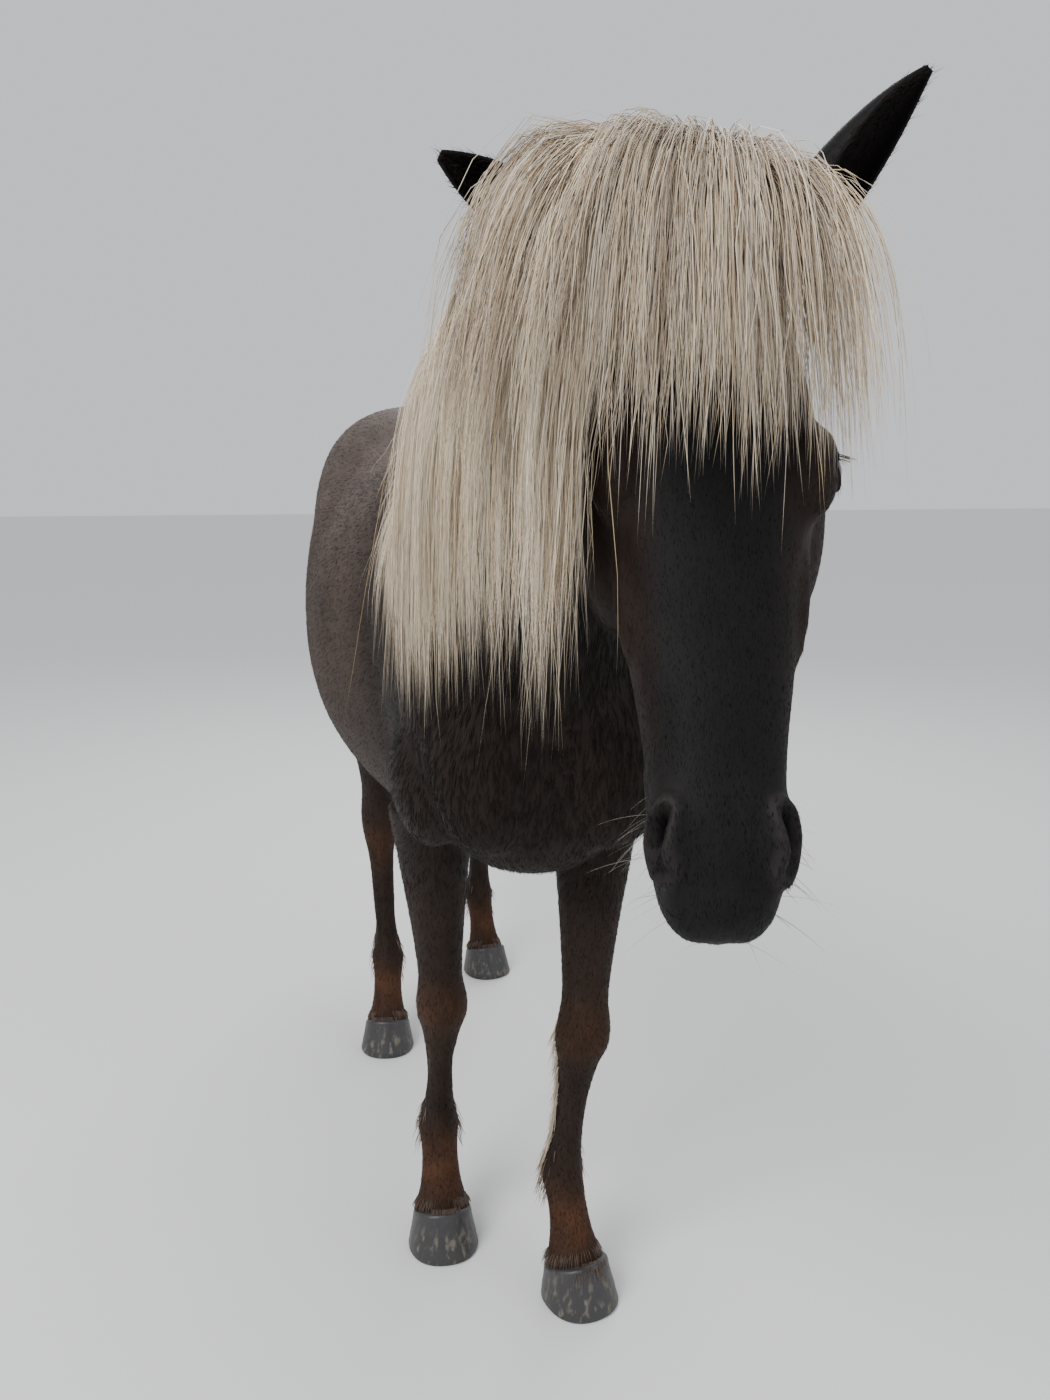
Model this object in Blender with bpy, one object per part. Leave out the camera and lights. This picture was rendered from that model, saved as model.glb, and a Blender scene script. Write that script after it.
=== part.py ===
# An Icelandic horse that stands at rest, modelled at life size in metres.
# It faces -Y with its left side on +X, and its soles rest on Z = 0.
# The flesh is melted together from lofts and muscles, then parted by thin cuts into named nodes.

import math
import random

import bmesh
import bpy
import numpy as np
from mathutils import Matrix, Vector
from mathutils.bvhtree import BVHTree

# Driving sizes. Distances along the body are measured backwards from the middle of the fore toes.
WITHERS_Z = 1.392
CROUP_Z = 1.428
BARREL_HALF = 0.292
RUMP_Y = 0.98
RUMP_FULLNESS = 0.20
HEAD_LENGTH = 0.592
EYE_RADIUS = 0.0205
GAP = 0.0003
WELD = 0.00001
PINCH_ROUNDS = 3
HAIR_GAP = 0.0010
FIXED_ORDER = Vector((1.0, 3.7, 11.3))
FORELOCK_GAP = 0.0040
BODY_VOXEL = 0.011
HEAD_VOXEL = 0.0042
BODY_TRIANGLES = 3700
HEAD_TRIANGLES = 2800

# Head pose: the poll, how far the nose points forward of straight down, and how far it turns to its right.
POLL = Vector((0.044, -0.611, 1.496))
NOSE_FORWARD = math.radians(21.5)
HEAD_TURN = math.radians(12.0)

# Cuts between the nodes.
LEG_CUT_Z = 0.640
BARREL_FRONT_Y = 0.270
BARREL_BACK_Y = 0.800
NECK_CUT = (Vector((0.0, 0.060, 1.385)), Vector((0.0, -0.737, 0.676)))
HEAD_CUT = (Vector((0.020, -0.520, 1.400)), Vector((-0.17, -0.90, -0.35)))

# Trunk rings: distance behind the fore toes, top, underside, half width.
TRUNK = (
    (-0.272, 1.020, 0.930, 0.060),
    (-0.245, 1.110, 0.850, 0.120),
    (-0.185, 1.215, 0.780, 0.158),
    (-0.085, 1.320, 0.740, 0.178),
    (0.020, 1.374, 0.722, 0.190),
    (0.120, WITHERS_Z, 0.705, 0.212),
    (0.260, 1.362, 0.690, 0.247),
    (0.420, 1.338, 0.680, 0.280),
    (0.580, 1.332, 0.680, BARREL_HALF),
    (0.720, 1.360, 0.700, BARREL_HALF),
    (0.850, 1.408, 0.755, 0.276),
    (0.970, CROUP_Z, 0.835, 0.262),
    (1.080, 1.408, 0.900, 0.236),
    (1.180, 1.350, 0.950, 0.190),
    (1.250, 1.265, 1.000, 0.125),
    (1.285, 1.190, 1.060, 0.055),
)

# Neck rings: crest (y, z), underside (y, z), half width, shift to the left.
NECK = (
    (0.100, 1.370, -0.200, 0.860, 0.155, 0.000),
    (-0.020, 1.396, -0.262, 0.970, 0.138, 0.000),
    (-0.140, 1.424, -0.305, 1.080, 0.115, 0.000),
    (-0.260, 1.452, -0.350, 1.165, 0.096, 0.004),
    (-0.370, 1.478, -0.400, 1.230, 0.083, 0.010),
    (-0.475, 1.494, -0.450, 1.280, 0.076, 0.018),
    (-0.560, 1.496, -0.500, 1.322, 0.068, 0.025),
    (-0.605, 1.478, -0.540, 1.360, 0.056, 0.030),
)

# Head rings in the head's own frame: along the face from the poll, front line, back line, half width.
SKULL = (
    (-0.014, -0.040, -0.085, 0.026),
    (0.008, -0.014, -0.108, 0.050),
    (0.050, 0.004, -0.135, 0.070),
    (0.110, 0.014, -0.150, 0.087),
    (0.170, 0.017, -0.152, 0.097),
    (0.230, 0.013, -0.148, 0.095),
    (0.290, 0.006, -0.138, 0.081),
    (0.340, 0.001, -0.126, 0.074),
    (0.390, -0.001, -0.114, 0.067),
    (0.440, -0.001, -0.105, 0.060),
    (0.490, 0.001, -0.103, 0.057),
    (0.530, -0.003, -0.103, 0.055),
    (0.560, -0.010, -0.097, 0.050),
    (0.580, -0.022, -0.086, 0.040),
    (HEAD_LENGTH, -0.038, -0.070, 0.026),
)

# Legs: the toe's tip (x, y), how far it turns to the left, whether it is a hind leg,
# then the joints above the fetlock from the top down.
LEGS = {
    "foreleg_left": ((0.108, -0.085), 16.0, False, ((0.122, 0.020, 0.800), (0.100, 0.014, 0.430))),
    "foreleg_right": ((-0.108, 0.084), -2.0, False, ((-0.122, 0.070, 0.800), (-0.100, 0.165, 0.425))),
    "hindleg_left": ((0.155, 1.138), 10.0, True, ((0.158, 0.960, 0.930), (0.140, 1.285, 0.520))),
    "hindleg_right": ((-0.155, 0.785), -10.0, True, ((-0.158, 0.870, 0.910), (-0.140, 1.010, 0.500))),
}
HOOF_LENGTH = 0.126
HOOF_WIDTH = 0.118
HOOF_TOP_Z = 0.078
HEEL_Z = 0.040
FETLOCK_Z = 0.192
PASTERN_BACK = 0.045

# Long hair. Counts are per layer, from the skin outwards.
LOCK_STEPS = 5
LOCK_THICKNESS = 0.007
FORELOCK_SEED = 14
FORELOCK_LOCKS = (9, 8)
FORELOCK_LENGTH = 0.40
FORELOCK_FAN = (-40.0, 40.0)
MANE_SEED = 8
MANE_LOCKS = (12, 11)
MANE_LENGTH = 0.60
MANE_START = 0.12
FEATHER_LOCKS = 3
FEATHER_LENGTH = 0.075
TAIL_LOCKS = 14
TAIL_TIP_Z = 0.20

# Ears, each (root, tip, way the cup opens, sideways bend) in the head's own frame.
EARS = {
    "ear_left": ((0.064, -0.060, -0.008), (0.171, 0.018, -0.138), (0.55, 0.60, 0.55), 0.010),
    "ear_right": ((-0.064, -0.060, -0.008), (-0.229, -0.010, -0.073), (-0.10, 0.85, 0.50), -0.006),
}

# Leg rings: which stretch between joints, share of it, half width, half depth, shift backwards.
FORELEG = (
    (0, 0.00, 0.068, 0.095, 0.015),
    (0, 0.22, 0.058, 0.080, 0.012),
    (0, 0.50, 0.047, 0.058, 0.006),
    (0, 0.80, 0.038, 0.042, 0.000),
    (0, 0.93, 0.044, 0.045, -0.003),
    (1, 0.04, 0.044, 0.045, -0.002),
    (1, 0.18, 0.034, 0.040, 0.003),
    (1, 0.45, 0.026, 0.034, 0.006),
    (1, 0.78, 0.027, 0.035, 0.006),
    (2, 0.00, 0.035, 0.042, 0.004),
    (2, 0.35, 0.033, 0.037, 0.003),
    (2, 0.70, 0.037, 0.040, 0.000),
    (2, 1.00, 0.048, 0.048, 0.000),
    (2, 1.25, 0.050, 0.050, 0.000),
)
HINDLEG = (
    (0, 0.00, 0.095, 0.150, 0.000),
    (0, 0.25, 0.078, 0.120, 0.010),
    (0, 0.52, 0.053, 0.080, 0.012),
    (0, 0.80, 0.037, 0.056, 0.010),
    (0, 0.97, 0.042, 0.060, 0.004),
    (1, 0.10, 0.041, 0.054, -0.002),
    (1, 0.28, 0.031, 0.041, 0.000),
    (1, 0.52, 0.027, 0.036, 0.003),
    (1, 0.82, 0.028, 0.037, 0.004),
    (2, 0.00, 0.036, 0.043, 0.004),
    (2, 0.35, 0.033, 0.037, 0.003),
    (2, 0.70, 0.036, 0.040, 0.000),
    (2, 1.00, 0.046, 0.047, 0.000),
    (2, 1.25, 0.048, 0.049, 0.000),
)

COAT = (0.035, 0.024, 0.018)
HAIR = (0.62, 0.52, 0.38)
HORN = (0.16, 0.15, 0.15)
PALETTE = {
    "head": (COAT, 0.6),
    "neck": (COAT, 0.6),
    "forequarters": (COAT, 0.6),
    "barrel": (COAT, 0.6),
    "hindquarters": (COAT, 0.6),
    "tail": (HAIR, 0.6),
    **{ear: (COAT, 0.7) for ear in EARS},
    "eye_left": ((0.02, 0.012, 0.01), 0.1),
    "eye_right": ((0.02, 0.012, 0.01), 0.1),
    **{leg: (COAT, 0.6) for leg in LEGS},
    **{leg.replace("leg", "hoof"): (HORN, 0.5) for leg in LEGS},
}


def clear_scene():
    for obj in list(bpy.data.objects):
        bpy.data.objects.remove(obj)


def object_from(name, bm):
    mesh = bpy.data.meshes.new(name)
    bm.to_mesh(mesh)
    bm.free()
    obj = bpy.data.objects.new(name, mesh)
    bpy.context.scene.collection.objects.link(obj)
    return obj


def bake_modifiers(obj):
    """Replaces the object's mesh by what its modifiers make of it."""
    bpy.context.view_layer.update()
    graph = bpy.context.evaluated_depsgraph_get()
    mesh = bpy.data.meshes.new_from_object(obj.evaluated_get(graph))
    obj.modifiers.clear()
    old = obj.data
    obj.data = mesh
    bpy.data.meshes.remove(old)
    return obj


def smooth_rows(rows, steps):
    """Rows of numbers joined by Catmull-Rom curves, with steps pieces between each two."""
    rows = np.array(rows, float)
    padded = np.vstack((2 * rows[0] - rows[1], rows, 2 * rows[-1] - rows[-2]))
    made = []
    for a, b, c, d in zip(padded, padded[1:], padded[2:], padded[3:]):
        for t in np.arange(steps) / steps:
            square = (2 * a - 5 * b + 4 * c - d) * t**2
            cube = (3 * b - a - 3 * c + d) * t**3
            made.append(0.5 * (2 * b + (c - a) * t + square + cube))
    made.append(rows[-1])
    return np.array(made)


def loft(name, rings, thin=False):
    """A closed skin over rings of points. A thin one is split alike on both faces, so that they never cross."""
    bm = bmesh.new()
    loops = [[bm.verts.new(p) for p in ring] for ring in rings]
    for low, high in zip(loops, loops[1:]):
        for k in range(len(low)):
            n = (k + 1) % len(low)
            if not thin:
                bm.faces.new((low[k], low[n], high[n], high[k]))
            elif k % 2:
                bm.faces.new((low[k], low[n], high[k]))
                bm.faces.new((low[n], high[n], high[k]))
            else:
                bm.faces.new((low[k], low[n], high[n]))
                bm.faces.new((low[k], high[n], high[k]))
    bm.faces.new(loops[0][::-1])
    bm.faces.new(loops[-1])
    bmesh.ops.recalc_face_normals(bm, faces=bm.faces)
    return object_from(name, bm)


def oval(sides, squareness=1.0):
    """Unit oval as (side, up) pairs. A squareness under 1 fills out its corners."""
    made = []
    for k in range(sides):
        c, s = math.cos(2 * math.pi * k / sides), math.sin(2 * math.pi * k / sides)
        made.append((math.copysign(abs(c) ** squareness, c), math.copysign(abs(s) ** squareness, s)))
    return made


def ball(name, radii, place, segments=20):
    """An ellipsoid with its radii along its own axes, set by a matrix."""
    bm = bmesh.new()
    bmesh.ops.create_uvsphere(bm, u_segments=segments, v_segments=segments * 2 // 3, radius=1.0)
    bmesh.ops.transform(bm, matrix=place @ Matrix.Diagonal((*radii, 1.0)), verts=bm.verts)
    return object_from(name, bm)


def head_frame():
    """Carries the head's own axes to the horse: x to its left, y out of the face, z down the face."""
    forward = Vector((-math.sin(HEAD_TURN), -math.cos(HEAD_TURN), 0.0))
    along = forward * math.sin(NOSE_FORWARD) - Vector((0, 0, math.cos(NOSE_FORWARD)))
    left = Vector((math.cos(HEAD_TURN), -math.sin(HEAD_TURN), 0.0))
    turn = Matrix((left, along.cross(left), along)).transposed()
    return Matrix.Translation(POLL) @ turn.to_4x4()


HEAD = head_frame()


def on_head(left, front, along):
    return HEAD @ Vector((left, front, along))


def trunk():
    rings = []
    for y, top, low, half in smooth_rows(TRUNK, 6):
        middle = low + 0.50 * (top - low)
        fullness = 0.92 - RUMP_FULLNESS * math.exp(-(((y - RUMP_Y) / 0.22) ** 2))
        rings.append([(half * side, y, middle + (top - middle) * up) for side, up in oval(48, fullness)])
    return loft("trunk", rings)


def neck():
    rings = []
    for crest_y, crest_z, low_y, low_z, half, shift in smooth_rows(NECK, 6):
        crest, low = Vector((shift, crest_y, crest_z)), Vector((shift, low_y, low_z))
        middle, rise = (crest + low) / 2, (crest - low) / 2
        ring = []
        for side, up in oval(40, 0.95):
            narrowing = 1.0 - 0.45 * max(0.0, up) ** 1.5
            ring.append(middle + rise * up + Vector((half * side * narrowing, 0, 0)))
        rings.append(ring)
    return loft("crest_and_throat", rings)


def muscles():
    """Ellipsoids under the skin that shape the shoulders, breast, haunches and croup."""
    # name, radii (side, back, up), place (side, back, up), lean of the top backwards
    table = (
        ("shoulder", (0.072, 0.115, 0.250), (0.116, -0.040, 1.060), -30.0),
        ("upper_arm", (0.062, 0.120, 0.110), (0.132, -0.020, 0.880), 0.0),
        ("breast", (0.080, 0.075, 0.120), (0.078, -0.200, 0.930), 0.0),
        ("thigh", (0.110, 0.180, 0.270), (0.150, 1.060, 1.030), 10.0),
        ("stifle", (0.070, 0.115, 0.150), (0.178, 0.905, 0.930), 20.0),
        ("buttock", (0.085, 0.085, 0.200), (0.098, 1.180, 1.080), 10.0),
    )
    made = []
    for name, radii, (side, back, up), lean in table:
        for sign in (-1, 1):
            turn = Matrix.Rotation(math.radians(-lean), 4, "X")
            made.append(ball(name, radii, Matrix.Translation((sign * side, back, up)) @ turn))
    withers = Matrix.Translation((0.0, 0.060, WITHERS_Z - 0.062))
    return made + [ball("withers", (0.055, 0.200, 0.062), withers)]


def head_pieces():
    rings = []
    for along, front, back, half in smooth_rows(SKULL, 6):
        middle, deep = (front + back) / 2, (front - back) / 2
        rings.append([on_head(half * side, middle + deep * up, along) for side, up in oval(48, 0.86)])
    # name, radii (side, front, along), place (side, front, along), lean of the lower end backwards
    table = (
        ("cheek", (0.043, 0.088, 0.122), (0.072, -0.126, 0.200), -6.0),
        ("orbit", (0.026, 0.038, 0.046), (0.080, -0.026, 0.205), 0.0),
        ("crest", (0.018, 0.020, 0.075), (0.070, -0.050, 0.290), 2.0),
        ("nostril_wing", (0.024, 0.032, 0.050), (0.038, -0.032, 0.506), 0.0),
        ("jaw_side", (0.018, 0.034, 0.130), (0.038, -0.105, 0.360), -8.0),
    )
    pieces = [loft("skull", rings)]
    for name, radii, (side, front, along), lean in table:
        for sign in (-1, 1):
            turn = Matrix.Rotation(math.radians(lean), 4, "X")
            place = HEAD @ Matrix.Translation((sign * side, front, along)) @ turn
            pieces.append(ball(name, radii, place))
    middle = (
        ("chin", (0.034, 0.022, 0.040), (0.0, -0.092, 0.522)),
        ("upper_lip", (0.044, 0.034, 0.036), (0.0, -0.040, 0.552)),
        ("forehead", (0.075, 0.040, 0.120), (0.0, -0.018, 0.140)),
    )
    return pieces + [ball(n, radii, HEAD @ Matrix.Translation(p)) for n, radii, p in middle]


def foot_frame(leg):
    """The coronet's middle, the fetlock's middle and the toe's direction of a leg."""
    (toe_x, toe_y), turn, _, _ = LEGS[leg]
    ahead = Vector((math.sin(math.radians(turn)), -math.cos(math.radians(turn)), 0.0))
    toe = Vector((toe_x, toe_y, 0.0))
    sole = toe - ahead * HOOF_LENGTH / 2
    coronet = sole - ahead * 0.014 + Vector((0, 0, (HOOF_TOP_Z + HEEL_Z) / 2))
    fetlock = coronet - ahead * PASTERN_BACK
    fetlock.z = FETLOCK_Z
    return sole, coronet, fetlock, ahead


def leg_skin(name):
    _, coronet, fetlock, ahead = foot_frame(name)
    _, _, hind, upper = LEGS[name]
    joints = [Vector(p) for p in upper] + [fetlock, coronet]
    rows = []
    for part, share, side, fore, back in HINDLEG if hind else FORELEG:
        place = joints[part] + (joints[part + 1] - joints[part]) * share
        rows.append((place.x, place.y + back, place.z, side, fore))
    rings = []
    for x, y, z, side, fore in smooth_rows(rows, 3):
        rings.append([(x + side * a, y + fore * b, z) for a, b in oval(18)])
    return loft(name, rings)


def fuse(name, pieces, voxel, rounds):
    """Melts overlapping pieces into one smooth skin."""
    bm = bmesh.new()
    for piece in pieces:
        bm.from_mesh(piece.data)
    obj = object_from(name, bm)
    for piece in pieces:
        bpy.data.objects.remove(piece)
    melt = obj.modifiers.new("melt", "REMESH")
    melt.mode = "VOXEL"
    melt.voxel_size = voxel
    soften = obj.modifiers.new("soften", "SMOOTH")
    soften.factor = 0.5
    soften.iterations = rounds
    return bake_modifiers(obj)


def thin_out(obj, triangles):
    count = sum(len(p.vertices) - 2 for p in obj.data.polygons)
    fewer = obj.modifiers.new("fewer", "DECIMATE")
    fewer.ratio = min(1.0, triangles / count)
    fewer.use_collapse_triangulate = True
    return bake_modifiers(obj)


def line_distance(points, line):
    """How far each point lies from a bent line through the given stops."""
    near = np.full(len(points), 1e9)
    for a, b in zip(line, line[1:]):
        a, b = np.array(a), np.array(b)
        share = np.clip(((points - a) @ (b - a)) / ((b - a) @ (b - a)), 0.0, 1.0)
        near = np.minimum(near, np.linalg.norm(points - (a + share[:, None] * (b - a)), axis=1))
    return near


def swell(distance, width):
    return np.exp(-((distance / width) ** 2))


# Lines on the right half of the face, mirrored for the left: (side, front, along).
NOSTRIL = ((0.052, 0.000, 0.492), (0.058, -0.014, 0.506), (0.050, -0.024, 0.528), (0.036, -0.016, 0.540))
MOUTH = ((0.056, -0.078, 0.462), (0.050, -0.080, 0.500), (0.036, -0.078, 0.545), (0.000, -0.072, 0.580))
EYE = (0.0865, -0.030, 0.206)
UPPER_LID = ((0.090, -0.052, 0.205), (0.096, -0.038, 0.188), (0.104, -0.022, 0.188), (0.092, -0.006, 0.212))
LOWER_LID = ((0.090, -0.052, 0.206), (0.098, -0.040, 0.224), (0.100, -0.022, 0.226), (0.092, -0.006, 0.213))


def carve_head(obj):
    """Presses in nostrils and mouth, and raises the lids and lips."""
    mesh = obj.data
    points = np.array([v.co for v in mesh.vertices])
    normals = np.array([v.normal for v in mesh.vertices])
    own = np.array([HEAD.inverted() @ Vector(p) for p in points])
    own[:, 0] = np.abs(own[:, 0])
    nostril, mouth = line_distance(own, NOSTRIL), line_distance(own, MOUTH)
    lids = np.minimum(line_distance(own, UPPER_LID), line_distance(own, LOWER_LID))
    move = 0.004 * swell(nostril - 0.014, 0.006) - 0.016 * swell(nostril, 0.0075)
    move += 0.0025 * swell(mouth - 0.010, 0.006) - 0.0060 * swell(mouth, 0.0045)
    move += 0.004 * swell(lids, 0.006)
    for vertex, place in zip(mesh.vertices, points + normals * move[:, None]):
        vertex.co = place


def keep_side(obj, name, cuts):
    """A copy of the object cut by planes, each (point, normal), that keeps what lies on the normals' side."""
    bm = bmesh.new()
    bm.from_mesh(obj.data)
    for point, normal in cuts:
        geometry = bm.verts[:] + bm.edges[:] + bm.faces[:]
        place = Vector(point) + Vector(normal).normalized() * GAP / 2
        bmesh.ops.bisect_plane(
            bm, geom=geometry, dist=1e-6, plane_co=place, plane_no=normal, clear_inner=True
        )
        open_edges = [e for e in bm.edges if e.is_boundary]
        bmesh.ops.holes_fill(bm, edges=open_edges, sides=0)
    bmesh.ops.recalc_face_normals(bm, faces=bm.faces)
    return object_from(name, bm)


def islands(bm):
    """The separate closed surfaces of a mesh, as sets of faces joined by edges of just two faces."""
    left, found = set(bm.faces), []
    while left:
        start = left.pop()
        group, rim = {start}, [start]
        while rim:
            sides = [edge for edge in rim.pop().edges if len(edge.link_faces) == 2]
            reached = {face for edge in sides for face in edge.link_faces} & left
            left -= reached
            group |= reached
            rim += reached
        found.append(group)
    return found


def keep_best(bm, score):
    groups = islands(bm)
    best = max(groups, key=score)
    bmesh.ops.delete(bm, geom=[f for g in groups if g is not best for f in g], context="FACES")


def keep_island(obj, score=len):
    """Keeps only the separate surface whose faces score highest, and closes up edges where it pinches."""
    bm = bmesh.new()
    bm.from_mesh(obj.data)
    keep_best(bm, score)
    for _ in range(PINCH_ROUNDS):
        pinched = [edge for edge in bm.edges if len(edge.link_faces) > 2]
        bmesh.ops.collapse(bm, edges=pinched)
        bmesh.ops.triangulate(bm, faces=bm.faces)
        bmesh.ops.dissolve_degenerate(bm, dist=WELD, edges=bm.edges)
        keep_best(bm, score)
    # One fixed order, so that the searches over the skin give the same answer each time.
    bm.verts.sort(key=lambda v: v.co.dot(FIXED_ORDER))
    bm.faces.sort(key=lambda f: f.calc_center_median().dot(FIXED_ORDER))
    bm.to_mesh(obj.data)
    bm.free()
    return obj


def swollen_copy(obj, distance):
    bm = bmesh.new()
    bm.from_mesh(obj.data)
    bm.normal_update()
    for vertex, push in [(v, v.normal * distance) for v in bm.verts]:
        vertex.co += push
    return object_from("swollen", bm)


def take_out(obj, cutter, solver="MANIFOLD"):
    clear = obj.modifiers.new("clear", "BOOLEAN")
    clear.object, clear.operation, clear.solver = cutter, "DIFFERENCE", solver
    clear.use_self = True
    return bake_modifiers(obj)


def cut_clear(obj, other):
    """Takes the other object, swollen by the gap, out of this one."""
    cutter = swollen_copy(other, GAP)
    take_out(obj, cutter)
    bpy.data.objects.remove(cutter)
    return keep_island(obj)


def guards(*names):
    return [swollen_copy(bpy.data.objects[name], HAIR_GAP) for name in names]


def shorn(pieces, cutters):
    """The locks, cut clear of what they cross."""
    for cutter in cutters:
        reach = skin_tree([cutter])
        for piece in pieces:
            if skin_tree([piece]).overlap(reach):
                take_out(piece, cutter, "EXACT")
        bpy.data.objects.remove(cutter)
    return [piece for piece in pieces if len(piece.data.polygons)]


def ear(name, root, tip, opening, bend):
    """A leaf rolled into a cup, from its root inside the skull to its tip."""
    root, tip, opening = Vector(root), Vector(tip), Vector(opening)
    axis = (tip - root).normalized()
    opening = (opening - axis * opening.dot(axis)).normalized()
    across = axis.cross(opening)
    # share of the length, radius, half angle of the wall around the back
    rows = (
        (0.00, 0.020, 172), (0.16, 0.024, 160), (0.32, 0.030, 128), (0.50, 0.030, 108),
        (0.68, 0.025, 98), (0.82, 0.018, 92), (0.93, 0.010, 88), (1.00, 0.0045, 84),
    )
    rings = []
    for share, radius, spread in rows:
        middle = root + (tip - root) * share + across * bend * math.sin(math.pi * share)
        middle += opening * 0.020 * share**3
        wall = min(0.0040, radius * 0.55)
        ring = []
        for size, order in ((radius, 1), (radius - wall, -1)):
            for k in range(11):
                angle = math.radians(spread) * (k / 5 - 1) * order
                ring.append(middle + (across * math.sin(angle) - opening * math.cos(angle)) * size)
        rings.append(ring)
    return loft(name, rings)


def hoof(name, leg):
    """Sole, slanted wall and coronet of one foot."""
    sole, coronet, _, ahead = foot_frame(leg)
    side = Vector((-ahead.y, ahead.x, 0.0))
    fall = (HOOF_TOP_Z - HEEL_Z) / 2
    # share of the height, length, width
    rows = (
        (0.00, 0.96, 0.96), (0.06, 1.00, 1.00), (0.50, 0.90, 0.91), (0.88, 0.80, 0.83), (1.00, 0.78, 0.81),
    )
    rings = []
    for share, long, wide in rows:
        middle = sole.lerp(coronet, share)
        ring = []
        for a, b in oval(20, 0.9):
            point = middle + ahead * (b * long * HOOF_LENGTH / 2) + side * (a * wide * HOOF_WIDTH / 2)
            point.z += b * fall * share - GAP / 2 * share
            ring.append(point)
        rings.append(ring)
    return loft(name, rings)


def tube(name, stops, squeeze=1.0, sides=14):
    """A closed tube through stops, each (x, y, z, radius); a squeeze under 1 flattens it front to back."""
    rings = []
    rows = smooth_rows(stops, 3)
    for row, before, after in zip(rows, np.vstack((rows[:1], rows[:-1])), np.vstack((rows[1:], rows[-1:]))):
        lie = Vector((after - before)[:3]).normalized()
        across = Vector((1, 0, 0)) - lie * lie.x
        across.normalize()
        up = lie.cross(across)
        middle = Vector(row[:3])
        rings.append([middle + (across * a + up * b * squeeze) * row[3] for a, b in oval(sides)])
    return loft(name, rings)


def unite(obj, pieces):
    """Joins closed pieces to a node by one Boolean union."""
    group = bpy.data.collections.new("pieces")
    bpy.context.scene.collection.children.link(group)
    for piece in pieces:
        bpy.context.scene.collection.objects.unlink(piece)
        group.objects.link(piece)
    join = obj.modifiers.new("join", "BOOLEAN")
    join.operand_type, join.collection = "COLLECTION", group
    join.operation, join.solver = "UNION", "MANIFOLD"
    bake_modifiers(obj)
    for piece in pieces:
        bpy.data.objects.remove(piece)
    bpy.data.collections.remove(group)
    return keep_island(obj)


def skin_tree(objects):
    """A search tree over the skins of several nodes."""
    bm = bmesh.new()
    for obj in objects:
        bm.from_mesh(obj.data)
    tree = BVHTree.FromBMesh(bm)
    bm.free()
    return tree


def lie_over(skin, place, clearance):
    """Moves a place out of the skin, and gives the skin's normal there."""
    near, normal, _, _ = skin.find_nearest(place)
    if (place - near).dot(normal) < clearance:
        place = near + normal * clearance
    return place, normal


def lock(skin, root, launch, length, half_width, clearance, spring, draw, root_share=0.25, grow=0.0):
    """One flat tapered lock that leaves its sunk root, falls by its weight and lies over the skin."""
    step = length / LOCK_STEPS
    way = launch.normalized()
    place = Vector(root)
    stops = [(place - way * 0.014, way.cross(Vector((0, 0, 1)))), (place, None)]
    for k in range(LOCK_STEPS):
        fall = (way * spring**k + Vector((0, 0, spring**k - 1.0))).normalized()
        ahead, normal = lie_over(skin, place + fall * step, clearance)
        stops.append((ahead, (ahead - place).cross(normal)))
        place = ahead
    wave = draw.uniform(0, 6.3)
    rings = []
    last = len(stops) - 1
    across = None
    for k, (place, side) in enumerate(stops):
        ahead = stops[min(k + 1, last)][0] - stops[max(k - 1, 0)][0]
        ahead.normalize()
        side = side if side is not None else stops[k + 1][1]
        side = (side - ahead * side.dot(ahead)).normalized()
        if across is not None:
            kept = (across - ahead * across.dot(ahead)).normalized()
            side = (kept * 0.4 + side * math.copysign(0.6, side.dot(kept))).normalized()
        across = side
        up = across.cross(ahead)
        share = k / last
        swing = 0.10 * half_width * math.sin(wave + 5.0 * share)
        wide = half_width * min(1.0, root_share + 1.5 * share) * (1.0 - share**3) + 0.0012 + grow
        thick = LOCK_THICKNESS * (1.0 - share**2) * 0.5 + 0.0008 + grow
        middle = place + across * swing
        rings.append([middle - across * wide, middle + up * thick, middle + across * wide, middle - up * thick])
    return loft("lock", rings, thin=True)


def forelock(skin, grow=0.0):
    """Locks that rise from the poll between the ears and fan out over the forehead."""
    draw = random.Random(FORELOCK_SEED)
    turn = HEAD.to_3x3()
    pieces = []
    for layer, count in enumerate(FORELOCK_LOCKS):
        for k in range(count):
            share = (k + 0.5 + draw.uniform(-0.2, 0.2)) / count
            fan = math.radians(FORELOCK_FAN[0] + (FORELOCK_FAN[1] - FORELOCK_FAN[0]) * share)
            rise = 0.10 + 0.25 * layer
            launch = turn @ Vector((0.85 * math.sin(fan), 0.75, -rise))
            root = on_head(-0.045 + 0.085 * share, -0.052 + 0.030 * layer, 0.0)
            root, _ = lie_over(skin, root, -0.004)
            length = FORELOCK_LENGTH * draw.uniform(0.90, 1.06) * (1.0 - 0.10 * share)
            clearance = 0.008 + 0.016 * layer
            pieces.append(lock(skin, root, launch, length, 0.030, clearance, 0.58, draw, grow=grow))
    return pieces


def mane(skin, crest):
    """Locks from the crest that fall over the right side of the neck and shoulder."""
    draw = random.Random(MANE_SEED)
    pieces = []
    for layer, count in enumerate(MANE_LOCKS):
        for k in range(count):
            share = (k + 0.25 + 0.5 * layer + draw.uniform(-0.15, 0.15)) / count
            share = MANE_START + (1.0 - MANE_START) * share
            row = crest[int(share * (len(crest) - 1))]
            root = Vector((row[5] - 0.008, row[0], row[1] - 0.004))
            root, _ = lie_over(skin, root, -0.004)
            launch = Vector((-0.22 - 0.60 * share, -0.10 + 0.05 * share, 0.12 + 0.12 * layer + 0.20 * share))
            length = MANE_LENGTH * draw.uniform(0.92, 1.08) * (1.0 - 0.12 * share)
            clearance = 0.009 + 0.015 * layer
            pieces.append(lock(skin, root, launch, length, 0.031, clearance, 0.36 + 0.14 * share, draw, 0.6))
    return pieces


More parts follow.
